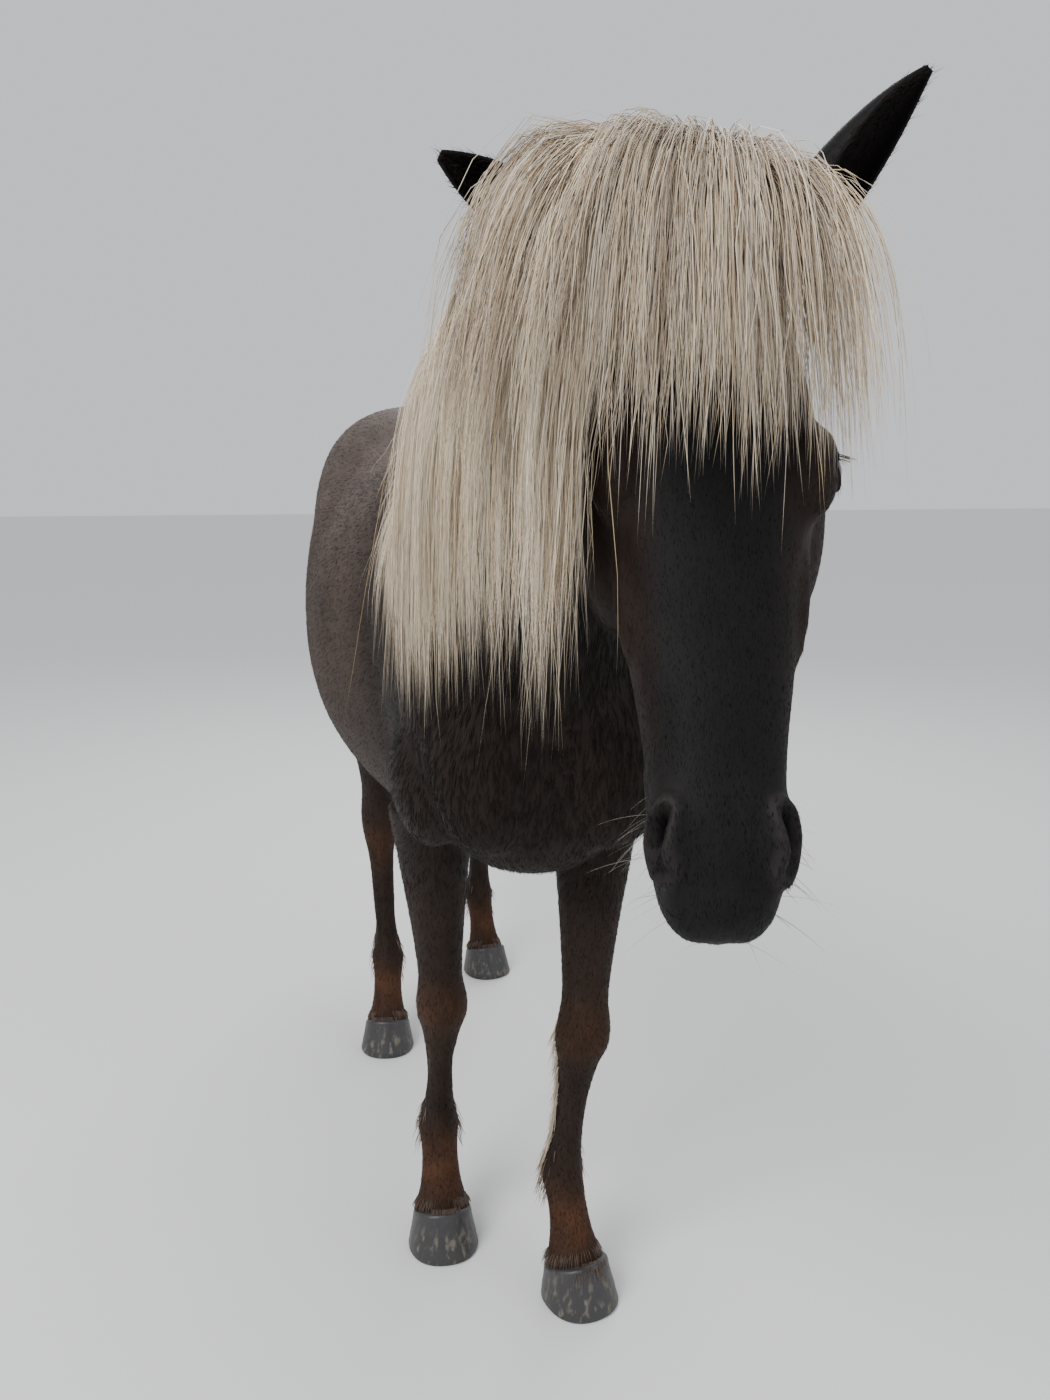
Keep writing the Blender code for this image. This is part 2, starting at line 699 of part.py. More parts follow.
def feather(skin, leg):
    """A few short locks behind the fetlock."""
    draw = random.Random(leg)
    _, _, fetlock, ahead = foot_frame(leg)
    side = Vector((-ahead.y, ahead.x, 0.0))
    pieces = []
    for k in range(FEATHER_LOCKS):
        share = k / (FEATHER_LOCKS - 1) * 2 - 1
        out = (side * share * 0.7 - ahead).normalized()
        root, _ = lie_over(skin, fetlock + out * 0.03 + Vector((0, 0, 0.012)), -0.004)
        launch = out * 0.25 - Vector((0, 0, 1))
        length = FEATHER_LENGTH * draw.uniform(0.85, 1.1)
        pieces.append(lock(skin, root, launch, length, 0.013, 0.005, 0.9, draw, 0.7))
    return pieces


def dock():
    """The fleshy core of the tail, at most half way to its tips."""
    stops = (
        (0.000, 1.225, 1.300, 0.024), (0.000, 1.290, 1.285, 0.030), (0.000, 1.335, 1.200, 0.030),
        (0.000, 1.352, 1.060, 0.026), (0.000, 1.355, 0.920, 0.016),
    )
    return tube("tail", stops, 0.9)


def tail_locks(skin, core):
    """Locks that leave the dock on every side and hang down."""
    draw = random.Random(5)
    pieces = []
    for k in range(TAIL_LOCKS):
        share = (k + 0.5) / TAIL_LOCKS
        angle = 2.4 * k
        height = 1.285 - 0.33 * share
        outside = Vector((0.05 * math.cos(angle), 1.345 + 0.05 * math.sin(angle), height))
        near, normal, _, _ = core.find_nearest(outside)
        root = near - normal * 0.004
        launch = Vector((normal.x * 0.18, normal.y * 0.12 + 0.02, -0.5))
        length = height - TAIL_TIP_Z - draw.uniform(0.0, 0.12)
        pieces.append(lock(skin, root, launch, length, 0.030, 0.010, 0.40, draw))
    return pieces


def paint():
    """Gives each node a plain material of its own."""
    for name, (colour, rough) in PALETTE.items():
        skin = bpy.data.materials.new(name)
        skin.use_nodes = True
        shader = skin.node_tree.nodes["Principled BSDF"]
        shader.inputs["Base Color"].default_value = (*colour, 1.0)
        shader.inputs["Roughness"].default_value = rough
        obj = bpy.data.objects[name]
        obj.data.materials.clear()
        obj.data.materials.append(skin)
        for face in obj.data.polygons:
            face.use_smooth = True


def stand_on_origin():
    """Moves every node so that the whole stands over the origin, soles on the floor."""
    bpy.context.view_layer.update()
    points = np.array([v.co for obj in bpy.data.objects for v in obj.data.vertices])
    low, high = points.min(axis=0), points.max(axis=0)
    shift = Matrix.Translation(-Vector(((low[0] + high[0]) / 2, (low[1] + high[1]) / 2, low[2])))
    for obj in bpy.data.objects:
        obj.data.transform(shift)


def build():
    clear_scene()
    limbs = [leg_skin(name) for name in LEGS]
    body = fuse("body", [trunk(), neck(), *muscles(), *limbs, *head_pieces()], BODY_VOXEL, 6)
    thin_out(body, BODY_TRIANGLES)
    skull = fuse("skull", [neck(), *head_pieces()], HEAD_VOXEL, 5)
    carve_head(skull)
    thin_out(skull, HEAD_TRIANGLES)

    point, normal = HEAD_CUT
    head = keep_side(skull, "head", [(point, normal)])
    bpy.data.objects.remove(skull)
    neck_point, neck_normal = NECK_CUT
    above = Vector((0, 0, LEG_CUT_Z)), Vector((0, 0, 1))
    front = Vector((0, BARREL_FRONT_Y, 0)), Vector((0, -1, 0))
    back = Vector((0, BARREL_BACK_Y, 0)), Vector((0, 1, 0))
    keep_side(body, "neck", [(neck_point, neck_normal), (point, -normal)])
    keep_side(body, "forequarters", [above, front, (neck_point, -neck_normal)])
    keep_side(body, "barrel", [above, (front[0], -front[1]), (back[0], -back[1])])
    keep_side(body, "hindquarters", [above, back])
    for name in LEGS:
        sole, coronet, _, ahead = foot_frame(name)
        slope = Vector((0, 0, HOOF_LENGTH * 0.78)) - ahead * (HOOF_TOP_Z - HEEL_Z)
        lower = keep_side(body, name, [(above[0], -above[1]), (coronet, slope)])
        keep_island(lower, lambda g: -min((v.co.xy - sole.xy).length for f in g for v in f.verts))
        hoof(name.replace("leg", "hoof"), name)
    bpy.data.objects.remove(body)

    for side, sign in (("left", 1), ("right", -1)):
        eye_place = HEAD @ Matrix.Translation((sign * EYE[0], EYE[1], EYE[2]))
        socket = ball("socket", (EYE_RADIUS,) * 3, eye_place, 14)
        cut_clear(head, socket)
        socket.name = "eye_" + side
    for name, (root, tip, opening, bend) in EARS.items():
        root, tip = on_head(*root), on_head(*tip)
        leaf = ear(name, root, tip, HEAD.to_3x3() @ Vector(opening), bend)
        for other in (head, bpy.data.objects["neck"]):
            cut_clear(leaf, other)
    for name in LEGS:
        limb = bpy.data.objects[name]
        around = skin_tree([limb, bpy.data.objects[name.replace("leg", "hoof")]])
        unite(limb, feather(around, name))
    tail = cut_clear(dock(), bpy.data.objects["hindquarters"])
    rear = skin_tree([bpy.data.objects[n] for n in ("hindquarters", "hindleg_left", "hindleg_right")])
    behind = guards("hindquarters", "hindleg_left", "hindleg_right")
    unite(tail, shorn(tail_locks(rear, skin_tree([tail])), behind))
    flesh = [bpy.data.objects[n] for n in ("neck", "forequarters", *EARS)]
    skin = skin_tree([head, *flesh])
    crest = bpy.data.objects["neck"]
    ahead_of_mane = guards(*EARS, "forequarters", "head")
    for gap in (FORELOCK_GAP, HAIR_GAP, GAP):
        ahead_of_mane += forelock(skin, gap)
    unite(head, shorn(forelock(skin), guards(*EARS, "neck")))
    unite(crest, shorn(mane(skin, smooth_rows(NECK, 12)[::-1]), ahead_of_mane))
    paint()
    stand_on_origin()


build()
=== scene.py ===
# An Icelandic horse at life size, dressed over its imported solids: one skin with its short coat,
# and the forelock, mane, tail, feathers and whiskers as fine closed strands.
import math

import bmesh
import bpy
import numpy as np
from mathutils import Matrix, Vector
from mathutils.bvhtree import BVHTree


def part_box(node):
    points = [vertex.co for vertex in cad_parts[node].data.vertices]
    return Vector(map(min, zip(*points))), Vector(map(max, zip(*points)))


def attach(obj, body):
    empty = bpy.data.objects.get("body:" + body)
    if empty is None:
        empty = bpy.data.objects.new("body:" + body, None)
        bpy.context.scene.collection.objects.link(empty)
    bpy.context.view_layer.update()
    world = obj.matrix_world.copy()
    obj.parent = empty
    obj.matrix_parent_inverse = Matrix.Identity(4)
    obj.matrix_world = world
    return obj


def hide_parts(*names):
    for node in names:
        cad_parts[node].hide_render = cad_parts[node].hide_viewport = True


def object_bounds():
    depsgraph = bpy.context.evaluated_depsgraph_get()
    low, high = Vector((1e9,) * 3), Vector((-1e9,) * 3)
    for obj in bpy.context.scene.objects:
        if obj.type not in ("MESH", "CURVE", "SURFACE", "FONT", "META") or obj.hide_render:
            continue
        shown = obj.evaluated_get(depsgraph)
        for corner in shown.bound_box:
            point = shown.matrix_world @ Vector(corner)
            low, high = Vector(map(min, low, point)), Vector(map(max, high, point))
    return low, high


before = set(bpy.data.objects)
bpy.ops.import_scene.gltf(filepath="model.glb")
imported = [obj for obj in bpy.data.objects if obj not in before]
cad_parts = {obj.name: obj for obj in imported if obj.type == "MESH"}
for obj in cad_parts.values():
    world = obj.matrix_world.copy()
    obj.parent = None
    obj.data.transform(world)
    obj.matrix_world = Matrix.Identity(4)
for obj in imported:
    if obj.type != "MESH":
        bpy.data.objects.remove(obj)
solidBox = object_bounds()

# Places below are measured sideways, backwards and up from the floor midway between the fore toes.
# hoofCorner is where the left fore hoof has its lowest corner in that measure.
hoofCorner = (0.0302, -0.0872)
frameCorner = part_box("forehoof_left")[0]
originShift = Vector((frameCorner.x - hoofCorner[0], frameCorner.y - hoofCorner[1], 0.0))


# another number here gives other chance places for those hairs
seeds = {
    "coat": 31, "ears": 21, "strands": 40, "shades": 50, "feathers": 61, "whiskers": 62,
    "forelockGuides": 11, "maneGuides": 7, "tailGuides": 5, "legHairs": 3, "faceHairs": 9,
}


# Helpers for points and shapes

def smoothRows(rows, steps):
    # rows of numbers joined by Catmull-Rom curves
    rows = np.array(rows, float)
    padded = np.vstack((2 * rows[0] - rows[1], rows, 2 * rows[-1] - rows[-2]))
    made = []
    for a, b, c, d in zip(padded, padded[1:], padded[2:], padded[3:]):
        for t in np.arange(steps) / steps:
            square = (2 * a - 5 * b + 4 * c - d) * t**2
            cube = (3 * b - a - 3 * c + d) * t**3
            made.append(0.5 * (2 * b + (c - a) * t + square + cube))
    made.append(rows[-1])
    return np.array(made)


def swell(distance, width):
    return np.exp(-((distance / width) ** 2))


def ramp(values, start, end):
    # 0 at start, 1 at end, with soft shoulders
    share = np.clip((values - start) / (end - start), 0.0, 1.0)
    return share * share * (3.0 - 2.0 * share)


def lineDistance(points, line):
    near = np.full(len(points), 1e9)
    for a, b in zip(line, line[1:]):
        a, b = np.array(a), np.array(b)
        share = np.clip(((points - a) @ (b - a)) / ((b - a) @ (b - a)), 0.0, 1.0)
        near = np.minimum(near, np.linalg.norm(points - (a + share[:, None] * (b - a)), axis=1))
    return near


def unit(vectors):
    return vectors / np.maximum(np.linalg.norm(vectors, axis=-1, keepdims=True), 1e-9)


def ovalPoints(sides, squareness=1.0):
    made = []
    for k in range(sides):
        c, s = math.cos(2 * math.pi * k / sides), math.sin(2 * math.pi * k / sides)
        made.append((math.copysign(abs(c) ** squareness, c), math.copysign(abs(s) ** squareness, s)))
    return made


def ringBody(rings):
    # a closed body: a ball whose parallels are drawn over the rings
    sides, levels = len(rings[0]), len(rings) + 1
    ends = [sum((Vector(p) for p in ring), Vector()) / sides for ring in (rings[0], rings[-1])]
    bm = bmesh.new()
    bmesh.ops.create_uvsphere(bm, u_segments=sides, v_segments=levels, radius=1.0)
    for vertex in bm.verts:
        x, y, z = vertex.co
        level = round(math.acos(max(-1.0, min(1.0, z))) / math.pi * levels)
        turn = round(math.atan2(y, x) / (2 * math.pi) * sides) % sides
        if level in (0, levels):
            vertex.co = ends[0] if level == 0 else ends[1]
        else:
            vertex.co = rings[level - 1][turn]
    bmesh.ops.recalc_face_normals(bm, faces=bm.faces)
    return bm


def ball(radii, place, segments=24):
    bm = bmesh.new()
    bmesh.ops.create_uvsphere(bm, u_segments=segments, v_segments=segments * 2 // 3, radius=1.0)
    bmesh.ops.transform(bm, matrix=place @ Matrix.Diagonal((*radii, 1.0)), verts=bm.verts)
    return bm


def pieceFrom(name, bm):
    mesh = bpy.data.meshes.new(name)
    bm.to_mesh(mesh)
    bm.free()
    mesh.shade_smooth()
    piece = bpy.data.objects.new(name, mesh)
    bpy.context.scene.collection.objects.link(piece)
    return piece


def joined(name, parts):
    bm = bmesh.new()
    for part in parts:
        loose = bpy.data.meshes.new("loose")
        part.to_mesh(loose)
        part.free()
        bm.from_mesh(loose)
        bpy.data.meshes.remove(loose)
    return pieceFrom(name, bm)


def applied(piece):
    # the piece with its modifiers made real
    bpy.context.view_layer.update()
    graph = bpy.context.evaluated_depsgraph_get()
    mesh = bpy.data.meshes.new_from_object(piece.evaluated_get(graph))
    piece.modifiers.clear()
    old, piece.data = piece.data, mesh
    bpy.data.meshes.remove(old)
    piece.data.name = piece.name
    return piece


def meshPoints(mesh):
    points = np.empty(len(mesh.vertices) * 3)
    mesh.vertices.foreach_get("co", points)
    normals = np.empty(len(mesh.vertices) * 3)
    mesh.vertex_normals.foreach_get("vector", normals)
    return points.reshape(-1, 3), normals.reshape(-1, 3)


def setPoints(mesh, points):
    mesh.vertices.foreach_set("co", np.asarray(points, dtype=np.float32).ravel())
    mesh.update()


def setTint(mesh, colours):
    tint = mesh.color_attributes.new("tint", "FLOAT_COLOR", "POINT")
    opaque = np.hstack((colours, np.ones((len(colours), 1))))
    tint.data.foreach_set("color", opaque.astype(np.float32).ravel())


def setNumber(mesh, name, values):
    mark = mesh.attributes.new(name, "FLOAT", "POINT")
    mark.data.foreach_set("value", np.asarray(values, dtype=np.float32))


def settle(piece, finish, slot, *nodes):
    # the last step of each piece: moved to the frame's place, painted and hung on the body
    piece.data.transform(Matrix.Translation(originShift))
    piece.data.materials.clear()
    piece.data.materials.append(finish)
    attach(piece, "root")
    if nodes:
        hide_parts(*nodes)
    print("made", piece.name, len(piece.data.polygons), "faces")
    return piece


# Where the head sits

headPose = {
    "poll": Vector((0.044, -0.611, 1.496)),
    "noseForward": math.radians(21.5),
    "turnToRight": math.radians(12.0),
}


def headFrame():
    # x to the horse's left, y out of the face, z down the face
    turn = headPose["turnToRight"]
    forward = Vector((-math.sin(turn), -math.cos(turn), 0.0))
    along = forward * math.sin(headPose["noseForward"]) - Vector((0, 0, math.cos(headPose["noseForward"])))
    left = Vector((math.cos(turn), -math.sin(turn), 0.0))
    turned = Matrix((left, along.cross(left), along)).transposed().to_4x4()
    return Matrix.Translation(headPose["poll"]) @ turned


head = headFrame()
headAxes = np.array(head.to_3x3())
headPoint = np.array(headPose["poll"])


def onHead(left, front, along):
    return head @ Vector((left, front, along))


def inHead(points):
    return (points - headPoint) @ headAxes


def sideOf(points, place, way):
    # how far points lie past a plane
    way = np.array(way) / np.linalg.norm(way)
    return (points - np.array(place)) @ way


def headShare(points):
    return ramp(sideOf(points, (0.020, -0.520, 1.400), (-0.17, -0.90, -0.35)), -0.06, 0.05)


def neckShare(points):
    return ramp(sideOf(points, (0.0, 0.060, 1.385), (0.0, -0.737, 0.676)), -0.10, 0.12)


def legShare(points):
    return ramp(points[:, 2], 0.78, 0.60)


# Skin: the flesh melted together from rings and muscles

trunkSizes = {
    "sides": 64,
    "rumpY": 0.98,
    "rumpFullness": 0.20,
    # distance behind the fore toes, top, underside, half width
    "rings": (
        (-0.272, 1.020, 0.930, 0.060), (-0.245, 1.110, 0.850, 0.120), (-0.185, 1.215, 0.780, 0.158),
        (-0.085, 1.320, 0.740, 0.178), (0.020, 1.374, 0.722, 0.190), (0.120, 1.392, 0.705, 0.212),
        (0.260, 1.362, 0.690, 0.247), (0.420, 1.338, 0.680, 0.280), (0.580, 1.332, 0.680, 0.292),
        (0.720, 1.360, 0.700, 0.292), (0.850, 1.408, 0.755, 0.276), (0.970, 1.428, 0.835, 0.262),
        (1.080, 1.408, 0.900, 0.236), (1.180, 1.350, 0.950, 0.190), (1.250, 1.265, 1.000, 0.125),
        (1.285, 1.190, 1.060, 0.055),
    ),
}


def trunk():
    rings = []
    for y, top, low, half in smoothRows(trunkSizes["rings"], 6):
        middle = low + 0.50 * (top - low)
        fullness = trunkSizes["rumpFullness"] * math.exp(-(((y - trunkSizes["rumpY"]) / 0.22) ** 2))
        oval = ovalPoints(trunkSizes["sides"], 0.92 - fullness)
        rings.append([(half * side, y, middle + (top - middle) * up) for side, up in oval])
    return ringBody(rings)


neckSizes = {
    "sides": 48,
    # crest (y, z), underside (y, z), half width, shift to the left
    "rings": (
        (0.100, 1.370, -0.200, 0.860, 0.155, 0.000), (-0.020, 1.396, -0.262, 0.970, 0.138, 0.000),
        (-0.140, 1.424, -0.305, 1.080, 0.115, 0.000), (-0.260, 1.452, -0.350, 1.165, 0.096, 0.004),
        (-0.370, 1.478, -0.400, 1.230, 0.083, 0.010), (-0.475, 1.494, -0.450, 1.280, 0.076, 0.018),
        (-0.560, 1.496, -0.500, 1.322, 0.068, 0.025), (-0.605, 1.478, -0.540, 1.360, 0.056, 0.030),
    ),
}


def neck():
    rings = []
    for crestY, crestZ, lowY, lowZ, half, shift in smoothRows(neckSizes["rings"], 6):
        crest, low = Vector((shift, crestY, crestZ)), Vector((shift, lowY, lowZ))
        middle, rise = (crest + low) / 2, (crest - low) / 2
        ring = []
        for side, up in ovalPoints(neckSizes["sides"], 0.95):
            narrowing = 1.0 - 0.45 * max(0.0, up) ** 1.5
            ring.append(middle + rise * up + Vector((half * side * narrowing, 0, 0)))
        rings.append(ring)
    return ringBody(rings)


# each muscle: radii (side, back, up), place (side, back, up), lean of its top backwards in degrees
muscleSizes = {
    "shoulder": ((0.072, 0.115, 0.250), (0.116, -0.040, 1.060), -30.0),
    "upperArm": ((0.062, 0.120, 0.110), (0.132, -0.020, 0.880), 0.0),
    "breast": ((0.080, 0.075, 0.120), (0.078, -0.200, 0.930), 0.0),
    "thigh": ((0.110, 0.180, 0.270), (0.150, 1.060, 1.030), 10.0),
    "stifle": ((0.070, 0.115, 0.150), (0.178, 0.905, 0.930), 20.0),
    "buttock": ((0.085, 0.085, 0.200), (0.098, 1.180, 1.080), 10.0),
}


def muscles():
    made = [ball((0.055, 0.200, 0.062), Matrix.Translation((0.0, 0.060, 1.330)))]  # withers
    for radii, (side, back, up), lean in muscleSizes.values():
        for sign in (-1, 1):
            turn = Matrix.Rotation(math.radians(-lean), 4, "X")
            made.append(ball(radii, Matrix.Translation((sign * side, back, up)) @ turn))
    return made


headSizes = {
    "sides": 56,
    # distance down the face, front line, back line, half width
    "rings": (
        (-0.014, -0.040, -0.085, 0.026), (0.008, -0.014, -0.108, 0.050), (0.050, 0.004, -0.135, 0.070),
        (0.110, 0.014, -0.150, 0.087), (0.170, 0.017, -0.152, 0.097), (0.230, 0.013, -0.148, 0.095),
        (0.290, 0.006, -0.138, 0.081), (0.340, 0.001, -0.126, 0.074), (0.390, -0.001, -0.114, 0.067),
        (0.440, -0.001, -0.105, 0.060), (0.490, 0.001, -0.103, 0.057), (0.530, -0.003, -0.103, 0.055),
        (0.560, -0.010, -0.097, 0.050), (0.580, -0.022, -0.086, 0.040), (0.592, -0.038, -0.070, 0.026),
    ),
    # paired forms: radii, place (side, front, along), lean of the lower end backwards in degrees
    "paired": {
        "cheek": ((0.043, 0.088, 0.122), (0.072, -0.126, 0.200), -6.0),
        "orbit": ((0.026, 0.038, 0.046), (0.080, -0.026, 0.205), 0.0),
        "crest": ((0.018, 0.020, 0.075), (0.070, -0.050, 0.290), 2.0),
        "nostrilWing": ((0.024, 0.032, 0.050), (0.038, -0.032, 0.506), 0.0),
        "jawSide": ((0.018, 0.034, 0.130), (0.038, -0.105, 0.360), -8.0),
    },
    "middle": {
        "chin": ((0.034, 0.022, 0.040), (0.0, -0.092, 0.522)),
        "upperLip": ((0.044, 0.034, 0.036), (0.0, -0.040, 0.552)),
        "forehead": ((0.075, 0.040, 0.120), (0.0, -0.018, 0.140)),
    },
}


def headParts():
    rings = []
    for along, front, back, half in smoothRows(headSizes["rings"], 6):
        middle, deep = (front + back) / 2, (front - back) / 2
        oval = ovalPoints(headSizes["sides"], 0.86)
        rings.append([onHead(half * side, middle + deep * up, along) for side, up in oval])
    made = [ringBody(rings)]
    for radii, (side, front, along), lean in headSizes["paired"].values():
        for sign in (-1, 1):
            turn = Matrix.Rotation(math.radians(lean), 4, "X")
            made.append(ball(radii, head @ Matrix.Translation((sign * side, front, along)) @ turn))
    for radii, place in headSizes["middle"].values():
        made.append(ball(radii, head @ Matrix.Translation(place)))
    return made


legSizes = {
    "sides": 28,
    "hoofLength": 0.126,
    "hoofWidth": 0.118,
    "hoofTop": 0.078,
    "heelTop": 0.040,
    "fetlockHeight": 0.192,
    "pasternBack": 0.045,
    # toe's tip (x, y), turn to the left, hind or not, joints above the fetlock from the top down
    "legs": {
        "foreleg_left": ((0.108, -0.085), 16.0, False, ((0.122, 0.020, 0.800), (0.100, 0.014, 0.430))),
        "foreleg_right": ((-0.108, 0.084), -2.0, False, ((-0.122, 0.070, 0.800), (-0.100, 0.165, 0.425))),
        "hindleg_left": ((0.155, 1.138), 10.0, True, ((0.158, 0.960, 0.930), (0.140, 1.285, 0.520))),
        "hindleg_right": ((-0.155, 0.785), -10.0, True, ((-0.158, 0.870, 0.910), (-0.140, 1.010, 0.500))),
    },
    # which stretch between joints, share of it, half width, half depth, shift backwards
    "fore": (
        (0, 0.00, 0.068, 0.095, 0.015), (0, 0.22, 0.058, 0.080, 0.012), (0, 0.50, 0.047, 0.058, 0.006),
        (0, 0.80, 0.038, 0.042, 0.000), (0, 0.93, 0.044, 0.045, -0.003), (1, 0.04, 0.044, 0.045, -0.002),
        (1, 0.18, 0.034, 0.040, 0.003), (1, 0.45, 0.026, 0.034, 0.006), (1, 0.78, 0.027, 0.035, 0.006),
        (2, 0.00, 0.035, 0.042, 0.004), (2, 0.35, 0.033, 0.037, 0.003), (2, 0.70, 0.037, 0.040, 0.000),
        (2, 1.00, 0.048, 0.048, 0.000), (2, 1.25, 0.050, 0.050, 0.000),
    ),
    "hind": (
        (0, 0.00, 0.095, 0.150, 0.000), (0, 0.25, 0.078, 0.120, 0.010), (0, 0.52, 0.053, 0.080, 0.012),
        (0, 0.80, 0.037, 0.056, 0.010), (0, 0.97, 0.042, 0.060, 0.004), (1, 0.10, 0.041, 0.054, -0.002),
        (1, 0.28, 0.031, 0.041, 0.000), (1, 0.52, 0.027, 0.036, 0.003), (1, 0.82, 0.028, 0.037, 0.004),
        (2, 0.00, 0.036, 0.043, 0.004), (2, 0.35, 0.033, 0.037, 0.003), (2, 0.70, 0.036, 0.040, 0.000),
        (2, 1.00, 0.046, 0.047, 0.000), (2, 1.25, 0.048, 0.049, 0.000),
    ),
}


def footFrame(leg):
    # the sole's middle, the coronet's middle, the fetlock's middle and the toe's direction
    (toeX, toeY), turn, _, _ = legSizes["legs"][leg]
    ahead = Vector((math.sin(math.radians(turn)), -math.cos(math.radians(turn)), 0.0))
    sole = Vector((toeX, toeY, 0.0)) - ahead * legSizes["hoofLength"] / 2
    coronet = sole - ahead * 0.014 + Vector((0, 0, (legSizes["hoofTop"] + legSizes["heelTop"]) / 2))
    fetlock = coronet - ahead * legSizes["pasternBack"]
    fetlock.z = legSizes["fetlockHeight"]
    return sole, coronet, fetlock, ahead


def legJoints(leg):
    _, coronet, fetlock, _ = footFrame(leg)
    return [Vector(p) for p in legSizes["legs"][leg][3]] + [fetlock, coronet]


def legBody(leg):
    joints = legJoints(leg)
    rows = []
    for part, share, side, fore, back in legSizes["hind" if legSizes["legs"][leg][2] else "fore"]:
        place = joints[part] + (joints[part + 1] - joints[part]) * share
        rows.append((place.x, place.y + back, place.z, side, fore))
    rings = []
    for x, y, z, side, fore in smoothRows(rows, 3):
        rings.append([(x + side * a, y + fore * b, z) for a, b in ovalPoints(legSizes["sides"])])
    return ringBody(rings)


# the fleshy core of the tail: x, y, z, radius
dockStops = (
    (0.000, 1.225, 1.300, 0.024), (0.000, 1.290, 1.285, 0.029), (0.000, 1.335, 1.200, 0.028),
    (0.000, 1.352, 1.060, 0.024), (0.000, 1.355, 0.920, 0.015),
)


def dock():
    rows = smoothRows(dockStops, 4)
    rings = []
    for row, before, after in zip(rows, np.vstack((rows[:1], rows[:-1])), np.vstack((rows[1:], rows[-1:]))):
        lie = Vector((after - before)[:3]).normalized()
        across = Vector((1, 0, 0)) - lie * lie.x
        across.normalize()
        up = lie.cross(across)
        rings.append([Vector(row[:3]) + (across * a + up * b * 0.9) * row[3] for a, b in ovalPoints(20)])
    return ringBody(rings)


# lines on the face, for both halves: (side, front, along) in the head's own measure
faceLines = {
    "nostril": (
        (0.050, 0.004, 0.482), (0.054, -0.008, 0.499), (0.052, -0.016, 0.516), (0.046, -0.019, 0.532),
    ),
    "mouth": (
        (0.056, -0.078, 0.462), (0.050, -0.080, 0.500), (0.036, -0.078, 0.545), (0.000, -0.072, 0.580),
    ),
    "eye": (0.0865, -0.030, 0.206),
    "eyeRadius": 0.0205,
    "lidHalfLength": 0.0190,
    "lidHalfHeight": 0.0115,
}


def foldedHead(points):
    # how far each point of the skin near the face moves, for nostrils, lips, bones and folds
    own = inHead(points)
    own[:, 0] = np.abs(own[:, 0])
    nostril, mouth = lineDistance(own, faceLines["nostril"]), lineDistance(own, faceLines["mouth"])
    move = 0.0042 * swell(nostril - 0.0125, 0.0050) - 0.0150 * swell(nostril, 0.0060)
    move += 0.0028 * swell(mouth - 0.010, 0.0060) - 0.0065 * swell(mouth, 0.0032)
    crest = lineDistance(own, ((0.072, -0.048, 0.240), (0.064, -0.052, 0.330)))
    move += 0.0030 * swell(crest, 0.008) - 0.0022 * swell(crest - 0.018, 0.009)
    vein = lineDistance(own, ((0.060, -0.085, 0.270), (0.058, -0.055, 0.330), (0.052, -0.020, 0.385)))
    move += 0.0012 * swell(vein, 0.0028)
    hollow = lineDistance(own, ((0.074, -0.004, 0.150), (0.080, -0.004, 0.165)))
    move -= 0.0040 * swell(hollow, 0.016)
    for k in range(3):  # creases above the lip's corner
        crease = lineDistance(own, ((0.046, -0.060 + 0.008 * k, 0.530 - 0.010 * k), (0.050, -0.048, 0.500)))
        move -= 0.0007 * swell(crease, 0.0016)
    return move


def lidMeasures(points):
    # signed distance from the edge of the almond between the lids, and the way out of the eyeball
    own = inHead(points)
    own[:, 0] = np.abs(own[:, 0])
    away = own - np.array(faceLines["eye"])
    forward, down = away[:, 1] - 0.001, away[:, 2] + 0.002 - 0.10 * away[:, 1]
    length = faceLines["lidHalfLength"]
    height = faceLines["lidHalfHeight"] * (1.0 - np.clip(np.abs(forward) / length, 0, 1) ** 2)
    beyond = np.abs(forward) - length
    edge = np.where(beyond < 0, np.abs(down) - height, np.hypot(beyond, down))
    edge = np.where(away[:, 0] > -0.012, edge, 1.0)
    return edge, unit(points - eyePlaces(points)), down


def eyePlaces(points):
    # the nearer eye's middle for each point
    side, front, along = faceLines["eye"]
    left, right = np.array(onHead(side, front, along)), np.array(onHead(-side, front, along))
    onLeft = inHead(points)[:, :1] > 0
    return np.where(onLeft, left, right)


def openLids(points):
    edge, out, down = lidMeasures(points)
    radius = faceLines["eyeRadius"]
    reach = radius + 0.0022 * ramp(edge, 0.0, 0.0012) - 0.0050 * ramp(edge, 0.0006, -0.0008)
    reach += 0.0012 * swell(edge - 0.003, 0.0016) - 0.0016 * swell(edge - 0.0075, 0.0018) * (down < 0)
    onBall = eyePlaces(points) + out * reach[:, None]
    blend = ramp(edge, 0.013, 0.003)[:, None]
    return points * (1 - blend) + onBall * blend


def legRelief(points):
    # tendons, knee caps and fetlock joints
    move = np.zeros(len(points))
    for leg, (_, _, hind, _) in legSizes["legs"].items():
        _, knee, fetlock, coronet = [np.array(p) for p in legJoints(leg)]
        ahead = np.array(footFrame(leg)[3])
        side = np.array((-ahead[1], ahead[0], 0.0))
        for sign in (-1, 1):  # the groove before the tendon
            drop = ahead * -0.012 + side * 0.028 * sign
            groove = lineDistance(points, (knee + drop + (0, 0, -0.09), fetlock + drop + (0, 0, 0.05)))
            move -= 0.0045 * swell(groove, 0.010)
            knobEnds = fetlock + side * 0.034 * sign, fetlock + side * 0.035 * sign + 0.001
            knob = lineDistance(points, knobEnds)
            move += 0.0030 * swell(knob, 0.014)
        cap = knee + ahead * (0.040 if not hind else -0.050)
        move += 0.0035 * swell(np.linalg.norm(points - cap, axis=1), 0.022)
        front, heel = coronet + ahead * 0.03 + (0, 0, 0.030), coronet - ahead * 0.03 + (0, 0, 0.02)
        dip = lineDistance(points, (front, heel))
        move -= 0.0020 * swell(dip, 0.016)
    return move


